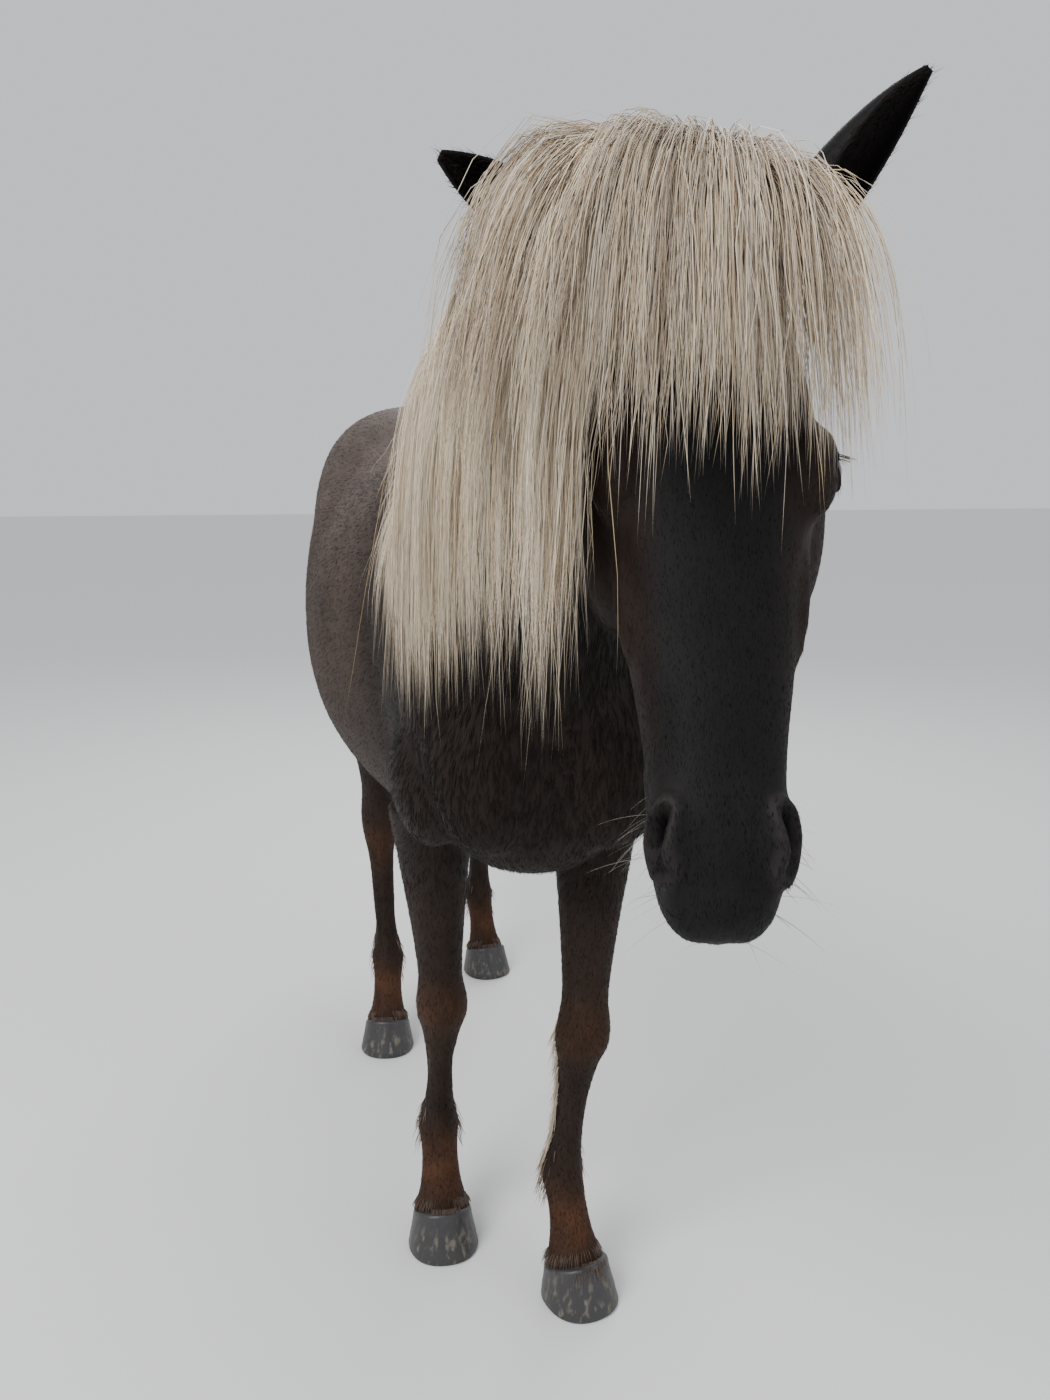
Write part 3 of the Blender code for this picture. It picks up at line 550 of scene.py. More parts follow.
# shallow furrows between the big muscles: depth, width, line
furrows = {
    "shoulderBack": (0.0050, 0.030, ((0.150, 0.130, 1.180), (0.200, 0.090, 1.000), (0.180, 0.080, 0.860))),
    "shoulderFront": (0.0045, 0.026, ((0.080, -0.15, 1.180), (0.150, -0.09, 1.020), (0.120, -0.12, 0.900))),
    "buttock": (0.0050, 0.028, ((0.120, 1.150, 1.230), (0.180, 1.130, 1.080), (0.160, 1.170, 0.930))),
    "flank": (0.0070, 0.055, ((0.200, 0.840, 1.180), (0.250, 0.800, 1.020), (0.240, 0.800, 0.880))),
    "breast": (0.0080, 0.022, ((0.0, -0.270, 0.980), (0.0, -0.255, 0.850))),
}
ribs = {"count": 6, "first": 0.36, "gap": 0.062, "rise": 0.0012, "width": 0.014}


def bodyRelief(points):
    # furrows and the last ribs, alike on both sides
    own = points.copy()
    own[:, 0] = np.abs(own[:, 0])
    move = np.zeros(len(points))
    for depth, width, line in furrows.values():
        move -= depth * swell(lineDistance(own, line), width)
    for k in range(ribs["count"]):
        y = ribs["first"] + ribs["gap"] * k
        rib = lineDistance(own, ((0.262, y, 1.12), (0.285, y + 0.045, 0.95), (0.250, y + 0.05, 0.80)))
        move += ribs["rise"] * swell(rib, ribs["width"])
    return move


skinSizes = {
    "voxel": 0.0058,
    "quickVoxel": 0.011,
    "smoothing": 9,
    "faces": 112000,  # triangles left before the face is refined
    "coatDepth": 0.0022,
}


def refineFace(piece):
    # finer faces on the muzzle and round the eyes
    for reach in (0.050, 0.026):
        bm = bmesh.new()
        bm.from_mesh(piece.data)
        middles = np.array([face.calc_center_median() for face in bm.faces])
        own = inHead(middles)
        own[:, 0] = np.abs(own[:, 0])
        near = np.minimum(lineDistance(own, faceLines["nostril"]), lineDistance(own, faceLines["mouth"]))
        near = np.minimum(near, np.linalg.norm(own - np.array(faceLines["eye"]), axis=1))
        bm.faces.ensure_lookup_table()
        edges = {edge for k in np.nonzero(near < reach)[0] for edge in bm.faces[k].edges}
        inOrder = sorted(edges, key=lambda edge: edge.index)  # so that every run gives the same mesh
        bmesh.ops.subdivide_edges(bm, edges=inOrder, cuts=1, use_grid_fill=True)
        bmesh.ops.triangulate(bm, faces=[face for face in bm.faces if len(face.verts) > 4])
        bm.to_mesh(piece.data)
        bm.free()
    soften = piece.modifiers.new("soften", "SMOOTH")
    soften.factor, soften.iterations = 0.5, 2
    return applied(piece)


def makeSkin():
    parts = [trunk(), neck(), *muscles(), *headParts(), dock(), *(legBody(leg) for leg in legSizes["legs"])]
    piece = joined("skin", parts)
    melt = piece.modifiers.new("melt", "REMESH")
    melt.mode = "VOXEL"
    melt.voxel_size = skinSizes["voxel"]
    soften = piece.modifiers.new("soften", "SMOOTH")
    soften.factor, soften.iterations = 0.5, skinSizes["smoothing"]
    applied(piece)
    print("melted skin", len(piece.data.polygons), "faces")
    points, _ = meshPoints(piece.data)
    group = piece.vertex_groups.new(name="plain")
    plain = 1.0 - ramp(headShare(points), 0.6, 1.0)
    for level in range(5):
        chosen = np.nonzero(np.round(plain * 4) == level)[0]
        group.add(chosen.tolist(), level / 4, "REPLACE")
    fewer = piece.modifiers.new("fewer", "DECIMATE")
    fewer.ratio = min(1.0, skinSizes["faces"] / (2 * len(piece.data.polygons)))
    fewer.vertex_group = "plain"
    fewer.use_collapse_triangulate = True
    applied(piece)
    print("thinned skin", len(piece.data.polygons), "faces")
    refineFace(piece)
    flat, normals = meshPoints(piece.data)
    points = flat.copy()
    nearHead = headShare(points) > 0.3
    move = (legRelief(points) + bodyRelief(points)) * (1 - nearHead) + foldedHead(points) * nearHead
    points = points + normals * (move - skinSizes["coatDepth"])[:, None]
    setPoints(piece.data, np.where(nearHead[:, None], openLids(points), points))
    setTint(piece.data, skinColour(meshPoints(piece.data)[0], flat))
    piece.data.shade_smooth()
    return piece


# Colours of the coat, the same for skin and tufts

coatColours = {
    "black": (0.0042, 0.0037, 0.0038),
    "face": (0.0044, 0.0038, 0.0040),
    "brown": (0.0290, 0.0165, 0.0110),
    "taupe": (0.0620, 0.0420, 0.0330),
    # painted sheen: a pale cool tone laid over the top of the back, where sky light glances off the coat
    "paintedSheen": (0.1150, 0.0920, 0.0810),
    "red": (0.0560, 0.0240, 0.0115),
    "lip": (0.0075, 0.0066, 0.0070),
    # painted highlight: a lighter tone laid along the raised rim of each nostril
    "rim": (0.0300, 0.0250, 0.0240),
    # painted shade: near black, laid into the nostrils, along the mouth line and round the lid edges
    "paintedShade": (0.0010, 0.0009, 0.0009),
}


def blotches(points, size, seed):
    # smooth chance variation from a few crossed waves, between 0 and 1
    draw = np.random.default_rng(seed)
    total = np.zeros(len(points))
    for _ in range(7):
        way = draw.normal(size=3)
        waves = points @ (way / np.linalg.norm(way)) * 2 * math.pi / (size * draw.uniform(0.6, 1.6))
        total += np.sin(waves + draw.uniform(0, 6.3))
    return np.clip(0.5 + total / 7.0, 0.0, 1.0)


def mix(first, second, share):
    return first * (1 - share) + second * share


def coatColour(points):
    colour = {name: np.array(value) for name, value in coatColours.items()}
    height = points[:, 2:3]
    barrel = ramp(points[:, 1:2], 0.02, 0.30)
    back = ramp(height, 0.75, 1.30)
    # brown lower down, taupe higher up, and a painted sheen over the top of the back
    tone = mix(mix(colour["brown"], colour["taupe"], back), colour["paintedSheen"], 0.45 * ramp(height, 1.15, 1.42))
    tone = mix(mix(colour["black"], colour["brown"], 0.35), tone, barrel)
    neckPart = neckShare(points)[:, None]
    tone = mix(tone, mix(colour["black"], colour["brown"], 0.15), neckPart)
    own = inHead(points)
    face = mix(colour["face"], colour["brown"], 0.45 * ramp(np.abs(own[:, :1]), 0.035, 0.080))
    muzzle = ramp(own[:, 2:3], 0.44, 0.52)
    face = mix(face, colour["lip"], 0.6 * muzzle)
    tone = mix(tone, face, headShare(points)[:, None])
    leg = legShare(points)[:, None]
    legTone = mix(colour["black"], colour["brown"], 0.55)
    red = swell(height - 0.44, 0.055) * 0.45 + swell(height - 0.13, 0.055) * 0.85
    red = red * (0.5 + 0.9 * blotches(points, 0.06, 4)[:, None])
    tone = mix(tone, mix(legTone, colour["red"], np.clip(red, 0, 1)), leg)
    patch = blotches(points, 0.16, 1)[:, None] * 0.5 + blotches(points, 0.045, 2)[:, None] * 0.5
    return tone * (0.72 + 0.56 * patch)


def skinColour(points, flat):
    # flat: the same points before the folds were pressed in, where the lines on the face are measured
    tone = coatColour(points)
    own = inHead(flat)
    own[:, 0] = np.abs(own[:, 0])
    onFace = (headShare(flat) > 0.5)[:, None]
    nostril, mouth = lineDistance(own, faceLines["nostril"]), lineDistance(own, faceLines["mouth"])
    edge = lidMeasures(flat)[0]
    # painted shade: the nostrils, the mouth line and the lid edges are darkened towards near black, where
    # those hollows fall in shade
    dark = np.maximum(swell(nostril, 0.0070), swell(mouth, 0.0024))
    dark = np.maximum(dark, swell(edge, 0.0040) * 0.8)[:, None] * onFace
    # painted highlight: the raised rim round each nostril made lighter, as if lit
    rim = swell(nostril - 0.0135, 0.0045)[:, None] * onFace * 0.5
    tone = mix(tone, np.array(coatColours["rim"]), rim)
    return mix(tone, np.array(coatColours["paintedShade"]), dark)


def coatLie(points, normals):
    # which way the short coat lies at each point
    own = inHead(points)
    back = np.array((0.0, 1.0, -0.45)) + np.zeros((len(points), 3))
    cheek = ramp(own[:, 1:2], -0.03, -0.12)
    back = mix(back, np.array((0.0, 0.35, -1.0)), ramp(points[:, 1:2], 0.95, 1.20))  # rump
    back = mix(back, np.array((0.0, 0.25, -1.0)), ramp(points[:, 1:2], 0.05, -0.15))  # breast
    back = mix(back, np.array((0.0, 0.60, -0.80)), neckShare(points)[:, None])
    back = mix(back, headAxes[:, 2] - headAxes[:, 1] * 0.5 * cheek, headShare(points)[:, None])
    back = mix(back, np.array((0.0, 0.15, -1.0)), legShare(points)[:, None])
    back = back - normals * np.sum(back * normals, axis=1, keepdims=True)
    return unit(back)


# Shader maths

class Wire:
    # one socket of a material's nodes, so that sums on it add their nodes
    def __init__(self, tree, socket=None):
        self.tree, self.socket = tree, socket

    def node(self, kind, settings=None, values=None, out=0):
        made = self.tree.nodes.new(kind)
        for name, value in (settings or {}).items():
            setattr(made, name, value)
        for name, value in (values or {}).items():
            if isinstance(value, Wire):
                self.tree.links.new(value.socket, made.inputs[name])
            else:
                made.inputs[name].default_value = value
        return Wire(self.tree, made.outputs[out])

    def maths(self, operation, first, second):
        return self.node("ShaderNodeMath", {"operation": operation}, {0: first, 1: second})

    def __add__(self, other):
        return self.maths("ADD", self, other)

    def __radd__(self, other):
        return self.maths("ADD", other, self)

    def __rsub__(self, other):
        return self.maths("SUBTRACT", other, self)

    def __mul__(self, other):
        return self.maths("MULTIPLY", self, other)

    def relief(self, strength, distance):
        # a bump made from this height
        return self.node("ShaderNodeBump", None, {"Strength": strength, "Distance": distance, "Height": self})

    def between(self, low, high):
        # 0 below low, 1 above high
        return self.node("ShaderNodeMapRange", {"interpolation_type": "SMOOTHSTEP"},
                         {"Value": self, "From Min": low, "From Max": high})

    def tinted(self, first, second):
        # a colour between two, by this value
        return self.node("ShaderNodeMix", {"data_type": "RGBA"}, {0: self, 6: first, 7: second}, out=2)

    def shaded(self, colour):
        # a colour made darker or lighter by this value
        return self.node("ShaderNodeVectorMath", {"operation": "SCALE"}, {"Vector": colour, "Scale": self})

    def streaks(self, scale, turn, stretch, detail=4.0):
        # noise drawn out along one axis of the piece
        spot = self.node("ShaderNodeTexCoord", out=3)
        lie = self.node("ShaderNodeMapping", None, {"Vector": spot, "Rotation": turn, "Scale": stretch})
        return self.node("ShaderNodeTexNoise", None, {"Vector": lie, "Scale": scale, "Detail": detail})


def newFinish(name):
    finish = bpy.data.materials.new(name)
    finish.use_nodes = True
    tree = finish.node_tree
    return finish, tree.nodes["Principled BSDF"], Wire(tree)


def feed(shader, inputs):
    for name, value in inputs.items():
        if isinstance(value, Wire):
            value.tree.links.new(value.socket, shader.inputs[name])
        else:
            shader.inputs[name].default_value = value


coatFinish = {"streakScale": 210.0, "bumpDepth": 0.0006, "gloss": 0.13}


def skinMaterial():
    finish, shader, wire = newFinish("short_coat_skin")
    tint = wire.node("ShaderNodeAttribute", {"attribute_name": "tint"})
    down = wire.node("ShaderNodeAttribute", {"attribute_name": "downward"}, out=2)
    along = wire.streaks(coatFinish["streakScale"], (math.radians(24), 0, 0), (1.0, 0.10, 1.0))
    falling = wire.streaks(coatFinish["streakScale"], (0, 0, 0), (1.0, 1.0, 0.10))
    hairs = along * (1 - down) + falling * down
    pores = wire.streaks(900.0, (0, 0, 0), (1, 1, 1), 2.0)
    feed(shader, {
        "Base Color": (0.55 + hairs * 0.9).shaded(tint),
        "Roughness": 0.52 + hairs * 0.22,
        "Normal": (hairs + pores * 0.25).relief(0.7, coatFinish["bumpDepth"]),
        "Specular IOR Level": coatFinish["gloss"],
    })
    return finish


def furMaterial():
    finish, shader, wire = newFinish("short_coat_tufts")
    tint = wire.node("ShaderNodeAttribute", {"attribute_name": "tint"})
    grain = wire.streaks(60.0, (0, 0, 0), (1, 1, 1), 2.0)
    feed(shader, {
        "Base Color": (0.75 + grain * 0.5).shaded(tint),
        "Roughness": 0.50 + grain * 0.2,
        "Specular IOR Level": coatFinish["gloss"],
    })
    return finish


def hairMaterial():
    finish, shader, wire = newFinish("long_hair")
    tint = wire.node("ShaderNodeAttribute", {"attribute_name": "tint"})
    grain = wire.streaks(45.0, (0, 0, 0), (1, 1, 0.2), 3.0)
    feed(shader, {
        "Base Color": (0.86 + grain * 0.28).shaded(tint),
        "Roughness": 0.46 + grain * 0.14,
        "Specular IOR Level": 0.35,
        "Sheen Weight": 0.15,
    })
    return finish


# Strands: every hair is a closed tapered tube, and hundreds of them are one mesh

def tubesPiece(name, paths, ups, widths, flatness, tints, spots):
    # paths: strands x stops x 3. The last stop is the tip. spots: where each root sits on the unwrap.
    count, stops, _ = paths.shape
    rings = stops - 1
    lie = unit(np.gradient(paths, axis=1))
    across = unit(np.cross(lie, ups))
    rise = unit(np.cross(across, lie))
    corners = []
    for k in range(3):
        angle = math.radians(90 + 120 * k)
        sideways = math.cos(angle) * widths[..., None]
        upwards = math.sin(angle) * flatness * widths[..., None]
        corners.append(across * sideways + rise * upwards)
    ringPoints = paths[:, :rings, None, :] + np.stack(corners, axis=2)[:, :rings]
    points = np.concatenate((ringPoints.reshape(count, rings * 3, 3), paths[:, -1:, :]), axis=1)
    each = rings * 3 + 1
    sides, caps, patches, capPatches = [], [], [], []
    for r in range(rings - 1):
        for k in range(3):
            n = (k + 1) % 3
            sides.append((r * 3 + k, r * 3 + n, (r + 1) * 3 + n, (r + 1) * 3 + k))
            low, high = r / rings, (r + 1) / rings
            patches.append(((k / 3, low), ((k + 1) / 3, low), ((k + 1) / 3, high), (k / 3, high)))
    last = (rings - 1) * 3
    for k in range(3):
        caps.append((last + k, last + (k + 1) % 3, rings * 3))
        capPatches.append(((k / 3, 1 - 1 / rings), ((k + 1) / 3, 1 - 1 / rings), ((k + 0.5) / 3, 1.0)))
    caps.append((2, 1, 0))
    capPatches.append(((0.0, 0.0), (0.5, 0.0), (0.25, 0.05)))
    base = (np.arange(count) * each)[:, None, None]
    sideCorners = (np.array(sides, dtype=int).reshape(-1, 4)[None] + base).reshape(count, -1)
    capCorners = (np.array(caps)[None] + base).reshape(count, -1)
    loops = np.concatenate((sideCorners, capCorners), axis=1).ravel()
    sizes = np.tile(np.array([4] * len(sides) + [3] * len(caps)), count)
    mesh = bpy.data.meshes.new(name)
    mesh.vertices.add(count * each)
    mesh.vertices.foreach_set("co", points.astype(np.float32).ravel())
    mesh.loops.add(len(loops))
    mesh.loops.foreach_set("vertex_index", loops.astype(np.int32))
    mesh.polygons.add(len(sizes))
    mesh.polygons.foreach_set("loop_start", np.concatenate(((0,), np.cumsum(sizes)[:-1])).astype(np.int32))
    mesh.update(calc_edges=True)
    patch = np.concatenate((np.array(patches).reshape(-1, 2), np.array(capPatches).reshape(-1, 2)))
    corner = spots[:, None, :] + patch[None] * 0.003
    mesh.uv_layers.new(name="OFBake").data.foreach_set("uv", corner.astype(np.float32).ravel())
    tintRings = np.repeat(tints[:, :rings], 3, axis=1)
    setTint(mesh, np.concatenate((tintRings, tints[:, -1:]), axis=1).reshape(-1, 3))
    mesh.shade_smooth()
    piece = bpy.data.objects.new(name, mesh)
    bpy.context.scene.collection.objects.link(piece)
    return piece


def unwrapSpots(roots, ends):
    # places on the unwrap: along and round the part that the roots sit on, drawn out to fill the map
    low, high = np.array(ends[0], float), np.array(ends[1], float)
    axis = (high - low) / np.linalg.norm(high - low)
    along = (roots - low) @ axis
    side = np.cross(axis, (1.0, 0.0, 0.0)) if abs(axis[0]) < 0.9 else np.cross(axis, (0.0, 1.0, 0.0))
    side = side / np.linalg.norm(side)
    out = roots - low - along[:, None] * axis
    angle = np.arctan2(out @ np.cross(axis, side), out @ side)
    spots = np.stack((along, angle), axis=1)
    spread = np.maximum(spots.max(axis=0) - spots.min(axis=0), 1e-6)
    return 0.005 + (spots - spots.min(axis=0)) / spread * 0.985


def treeOf(pieces):
    bm = bmesh.new()
    for piece in pieces:
        bm.from_mesh(piece.data)
    tree = BVHTree.FromBMesh(bm)
    bm.free()
    return tree


def pushOut(tree, paths, clearance):
    # lifts the stops of strands that run into the skin, and gives the skin's normals there
    normals = np.zeros_like(paths)
    flat = paths.reshape(-1, 3)
    flatNormals = normals.reshape(-1, 3)
    stops = paths.shape[1]
    for k, place in enumerate(flat):
        near, normal, _, _ = tree.find_nearest(place)
        flatNormals[k] = normal
        if k % stops:  # roots stay where they are
            depth = (Vector(place) - near).dot(normal)
            need = clearance[k // stops]
            if depth < need:
                flat[k] = near + normal * need
    return normals


def fallingPath(tree, root, launch, length, steps, spring, clearance):
    # a hair that leaves its root by its spring, falls by its weight and lies over the skin
    step, keep = length / steps, spring ** (5.0 / steps)
    way = Vector(launch).normalized()
    place = Vector(root)
    path = [place - way * 0.006, place]
    for k in range(steps):
        fall = (way * keep**k + Vector((0, 0, keep**k - 1.0))).normalized()
        place = place + fall * step
        near, normal, _, _ = tree.find_nearest(place)
        if (place - near).dot(normal) < clearance:
            place = near + normal * clearance
        path.append(place)
    return np.array(path)


def skinPlace(tree, place, depth=-0.003):
    near, normal, _, _ = tree.find_nearest(Vector(place))
    return near + normal * depth


def combedHair(tree, guides, sizes, perLock, seed):
    # fine strands round each guide: apart at the root, gathered to a point, waved towards the tip
    draw = np.random.default_rng(seed)
    spread, crimp = sizes["spread"], sizes["crimp"]
    paths = np.repeat(guides, perLock, axis=0)
    count, stops, _ = paths.shape
    share = np.linspace(0, 1, stops)[None, :, None]
    lie = unit(np.gradient(paths, axis=1))
    near = np.array([tree.find_nearest(Vector(p))[1] for p in paths[::perLock, 2]])
    ups = np.repeat(near, perLock, axis=0)[:, None, :] + np.zeros_like(paths)
    across = unit(np.cross(lie, ups))
    rise = unit(np.cross(across, lie))
    offset = draw.normal(size=(count, 1, 1)) * spread
    lift = np.abs(draw.normal(size=(count, 1, 1))) * spread * 0.45
    tight = 1.0 - sizes["gather"] * share ** draw.uniform(0.9, 2.2, size=(count, 1, 1))
    lockPhase = np.repeat(draw.uniform(0, 6.3, size=(count // perLock, 1, 1)), perLock, axis=0)
    waveLength = np.repeat(draw.uniform(0.026, 0.042, size=(count // perLock, 1, 1)), perLock, axis=0)
    steps = np.linalg.norm(np.diff(paths, axis=1, prepend=paths[:, :1]), axis=2)
    reach = np.cumsum(steps, axis=1)[..., None]
    own = draw.normal(size=(count, 1, 1)) * 0.9
    wave = np.sin(reach / waveLength * 2 * math.pi + lockPhase + own) * crimp * ramp(share, 0.25, 0.85)
    drift = draw.normal(size=(count, 1, 3)) * 0.010 * share ** 2
    stray = (draw.random((count, 1, 1)) < 0.04) * draw.normal(size=(count, 1, 3)) * 0.022 * share ** 1.5
    paths = paths + across * (offset * tight + wave) + rise * (lift * tight + wave * 0.4) + drift + stray
    trim = draw.uniform(0.62, 1.0, size=count) ** 0.8
    paths = shortened(insideBox(paths), trim)
    normals = pushOut(tree, paths, sizes["clearance"] + np.abs(offset[:, 0, 0]) * 0.1)
    taper = (1 - share[..., 0] ** 2.5) * 0.85 + 0.15
    widths = sizes["width"] * draw.uniform(0.7, 1.35, size=(count, 1)) * taper
    return paths, unit(normals + rise * 0.01), widths


def insideBox(paths, margin=0.012, soft=0.03):
    # a stray that would leave the solids' box is bent back softly
    low = np.array(solidBox[0] - originShift) - margin
    high = np.array(solidBox[1] - originShift) + margin
    low[2] = 0.02
    under = np.minimum(paths - low - soft, 0.0)
    paths = np.where(under < 0, low + soft * np.exp(under / soft), paths)
    over = np.maximum(paths - high + soft, 0.0)
    return np.where(over > 0, high - soft * np.exp(-over / soft), paths)


def shortened(paths, trim):
    # each strand cut to its share of the length, with its stops spread evenly again
    count, stops, _ = paths.shape
    at = np.linspace(0, 1, stops)[None] * trim[:, None] * (stops - 1)
    low = np.clip(np.floor(at).astype(int), 0, stops - 2)
    part = (at - low)[..., None]
    rows = np.arange(count)[:, None]
    return paths[rows, low] * (1 - part) + paths[rows, low + 1] * part


hairColours = {
    "cream": (0.700, 0.565, 0.385),
    "pale": (0.820, 0.740, 0.600),
    "ash": (0.380, 0.295, 0.225),
    "mauve": (0.250, 0.185, 0.160),
    "gold": (0.520, 0.345, 0.160),
}


def hairTints(count, stops, perLock, mixShares, seed, rootDark=0.35):
    # one colour for each strand, darker at its root, with some locks darker than others
    draw = np.random.default_rng(seed)
    names = list(hairColours)
    palette = np.array([hairColours[name] for name in names])
    shares = np.array([mixShares.get(name, 0.0) for name in names])
    chosen = draw.choice(len(names), size=count, p=shares / shares.sum())
    lockTone = np.repeat(draw.uniform(0.70, 1.12, size=(count // perLock, 1)), perLock, axis=0)
    base = palette[chosen] * draw.uniform(0.82, 1.15, size=(count, 1)) * lockTone
    second = palette[draw.choice(len(names), size=count, p=shares / shares.sum())]
    share = np.linspace(0, 1, stops)[None, :, None]
    depth = 1 - rootDark * (1 - ramp(share, 0.0, 0.25))
    return mix(base[:, None], second[:, None], share * 0.4) * depth


forelockSizes = {
    "guides": 95,
    "strands": 42,
    "length": 0.40,
    "fan": (-60.0, 24.0),
    "steps": 10,
    "width": 0.00058,
    "spread": 0.015,
    "crimp": 0.0040,
    "gather": 0.62,
    "clearance": 0.004,
    "colours": {"cream": 0.40, "pale": 0.20, "ash": 0.22, "mauve": 0.13, "gold": 0.05},
}


def forelockGuides(tree):
    draw = np.random.default_rng(seeds["forelockGuides"])
    sizes = forelockSizes
    guides = []
    for k in range(sizes["guides"]):
        share = (k + 0.5) / sizes["guides"]
        layer = (k * 0.618) % 1.0
        first, last = sizes["fan"]
        fan = math.radians(first + (last - first) * share + draw.normal() * 2.0)
        rise = 0.05 + (0.85 - 0.70 * share) * layer
        launch = head.to_3x3() @ Vector((0.80 * math.sin(fan), 0.72 * math.cos(fan) ** 2 + 0.05, -rise))
        root = skinPlace(tree, onHead(-0.030 + 0.044 * share, -0.060 + 0.028 * layer, -0.004))
        length = sizes["length"] * draw.uniform(0.88, 1.06) * (1.0 - 0.10 * share)
        spring, clearance = 0.60 + 0.05 * layer, 0.005 + 0.030 * layer
        guides.append(fallingPath(tree, root, launch, length, sizes["steps"], spring, clearance))
    return np.array(guides)


maneSizes = {
    "guides": 110,
    "strands": 42,
    "length": 0.56,
    "start": 0.02,
    "steps": 11,
    "width": 0.00062,
    "spread": 0.018,
    "crimp": 0.0042,
    "gather": 0.72,
    "clearance": 0.005,
    "colours": {"cream": 0.42, "pale": 0.30, "ash": 0.14, "mauve": 0.04, "gold": 0.10},
}


def maneGuides(tree):
    draw = np.random.default_rng(seeds["maneGuides"])
    sizes = maneSizes
    crest = smoothRows(neckSizes["rings"], 12)[::-1]
    guides = []
    for k in range(sizes["guides"]):
        share = (k + 0.5) / sizes["guides"]
        layer = (k * 0.618) % 1.0
        share = sizes["start"] + (1.0 - sizes["start"]) * share
        row = crest[int(share * (len(crest) - 1))]
        root = skinPlace(tree, (row[5] - 0.012 + 0.020 * layer, row[0], row[1] + 0.002))
        side = -0.20 - 0.30 * share
        launch = (side, -0.10 + 0.05 * share + draw.normal() * 0.04, 0.10 + 0.16 * layer + 0.20 * share)
        length = sizes["length"] * draw.uniform(0.84, 1.10)
        length *= 1.02 - 0.50 * max(0.0, share - 0.72) / 0.28  # shorter towards the withers
        length *= 0.86 + 0.14 * min(1.0, share / 0.35)  # and behind the poll
        spring, clearance = 0.34 + 0.08 * share, 0.006 + 0.016 * layer
        guides.append(fallingPath(tree, root, launch, length, sizes["steps"], spring, clearance))
    return np.array(guides)


tailSizes = {
    "guides": 60,
    "strands": 34,
    "tipHeight": 0.20,
    "sway": 0.07,
    "steps": 10,
    "width": 0.00072,
    "spread": 0.014,
    "crimp": 0.0036,
    "gather": 0.60,
    "clearance": 0.004,
    "colours": {"cream": 0.40, "pale": 0.12, "ash": 0.12, "gold": 0.32, "mauve": 0.04},
}


def tailGuides(tree):
    draw = np.random.default_rng(seeds["tailGuides"])
    sizes = tailSizes
    guides = []
    for k in range(sizes["guides"]):
        share = (k + 0.5) / sizes["guides"]
        angle = 2.4 * k
        height = 1.290 - 0.33 * share
        outside = Vector((0.05 * math.cos(angle), 1.345 + 0.05 * math.sin(angle), height))
        near, normal, _, _ = tree.find_nearest(outside)
        launch = Vector((normal.x * 0.16 - sizes["sway"], normal.y * 0.12 + 0.02, -0.5))
        length = height - sizes["tipHeight"] - draw.uniform(0.0, 0.14)
        guides.append(fallingPath(tree, near - normal * 0.003, launch, length, sizes["steps"], 0.40, 0.006))
    return np.array(guides)


# Short tufts

def scatter(mesh, count, density, seed):
    # chance points on the skin, with their normals, more of them where the density is high
    draw = np.random.default_rng(seed)
    mesh.calc_loop_triangles()
    corners = np.empty(len(mesh.loop_triangles) * 3, dtype=np.int32)
    mesh.loop_triangles.foreach_get("vertices", corners)
    corners = corners.reshape(-1, 3)
    points, normals = meshPoints(mesh)
    a, b, c = (points[corners[:, k]] for k in range(3))
    middle = (a + b + c) / 3
    area = np.linalg.norm(np.cross(b - a, c - a), axis=1) * density(middle)
    chosen = np.sort(draw.choice(len(area), size=count, p=area / area.sum()))
    first, second = draw.random(count), draw.random(count)
    flip = first + second > 1
    first[flip], second[flip] = 1 - first[flip], 1 - second[flip]
    weights = np.stack((1 - first - second, first, second), axis=1)[..., None]
    places = (points[corners[chosen]] * weights).sum(axis=1)
    ways = unit((normals[corners[chosen]] * weights).sum(axis=1))
    return places, ways


def tuftLength(points):
    # the coat is short on face and legs, longer on breast, belly, throat and the backs of the legs
    own = inHead(points)
    length = 0.0125 + 0.006 * neckShare(points) + 0.008 * ramp(points[:, 2], 0.80, 0.70)
    breast = ramp(points[:, 1], -0.02, -0.18) * ramp(points[:, 2], 0.65, 0.80)
    length = length + 0.008 * breast
    jaw = ramp(own[:, 1], -0.10, -0.15) * ramp(own[:, 2], 0.42, 0.30)
    face = 0.0075 + 0.016 * jaw
    onFace = headShare(points)
    return mix(mix(length, face, onFace), 0.0085, legShare(points))


def tufts(name, mesh, count, density, seed, ends, lift=0.10, width=0.00085):
    draw = np.random.default_rng(seed)
    roots, normals = scatter(mesh, count, density, seed)
    onFace = headShare(roots)[:, None]
    lie = coatLie(roots, normals)
    lie = unit(lie + np.cross(normals, lie) * draw.normal(size=(count, 1)) * 0.16)
    length = (tuftLength(roots) * draw.uniform(0.7, 1.25, size=count))[:, None]
    rise = lift * draw.uniform(0.5, 1.6, size=(count, 1)) * (1 - 0.6 * onFace)
    starts = roots - lie * length * 0.12 - normals * 0.0006
    paths = np.stack((starts, roots + (lie + normals * rise) * length), axis=1)
    widths = np.repeat(width * draw.uniform(0.7, 1.4, size=(count, 1)) * (1 - 0.50 * onFace), 2, axis=1)
    onBody, onHeadTone = draw.uniform(0.70, 1.45, size=(count, 1)), draw.uniform(1.0, 1.6, size=(count, 1))
    tone = coatColour(roots) * mix(onBody, onHeadTone, onFace)
    shades = tone[:, None] * np.array((0.85, 1.15))[None, :, None]
    ups = np.repeat(normals[:, None], 2, axis=1)
    return tubesPiece(name, paths, ups, widths, 0.5, shades, unwrapSpots(roots, ends))


# Feathers, fringes, whiskers and lashes: hairs set one by one

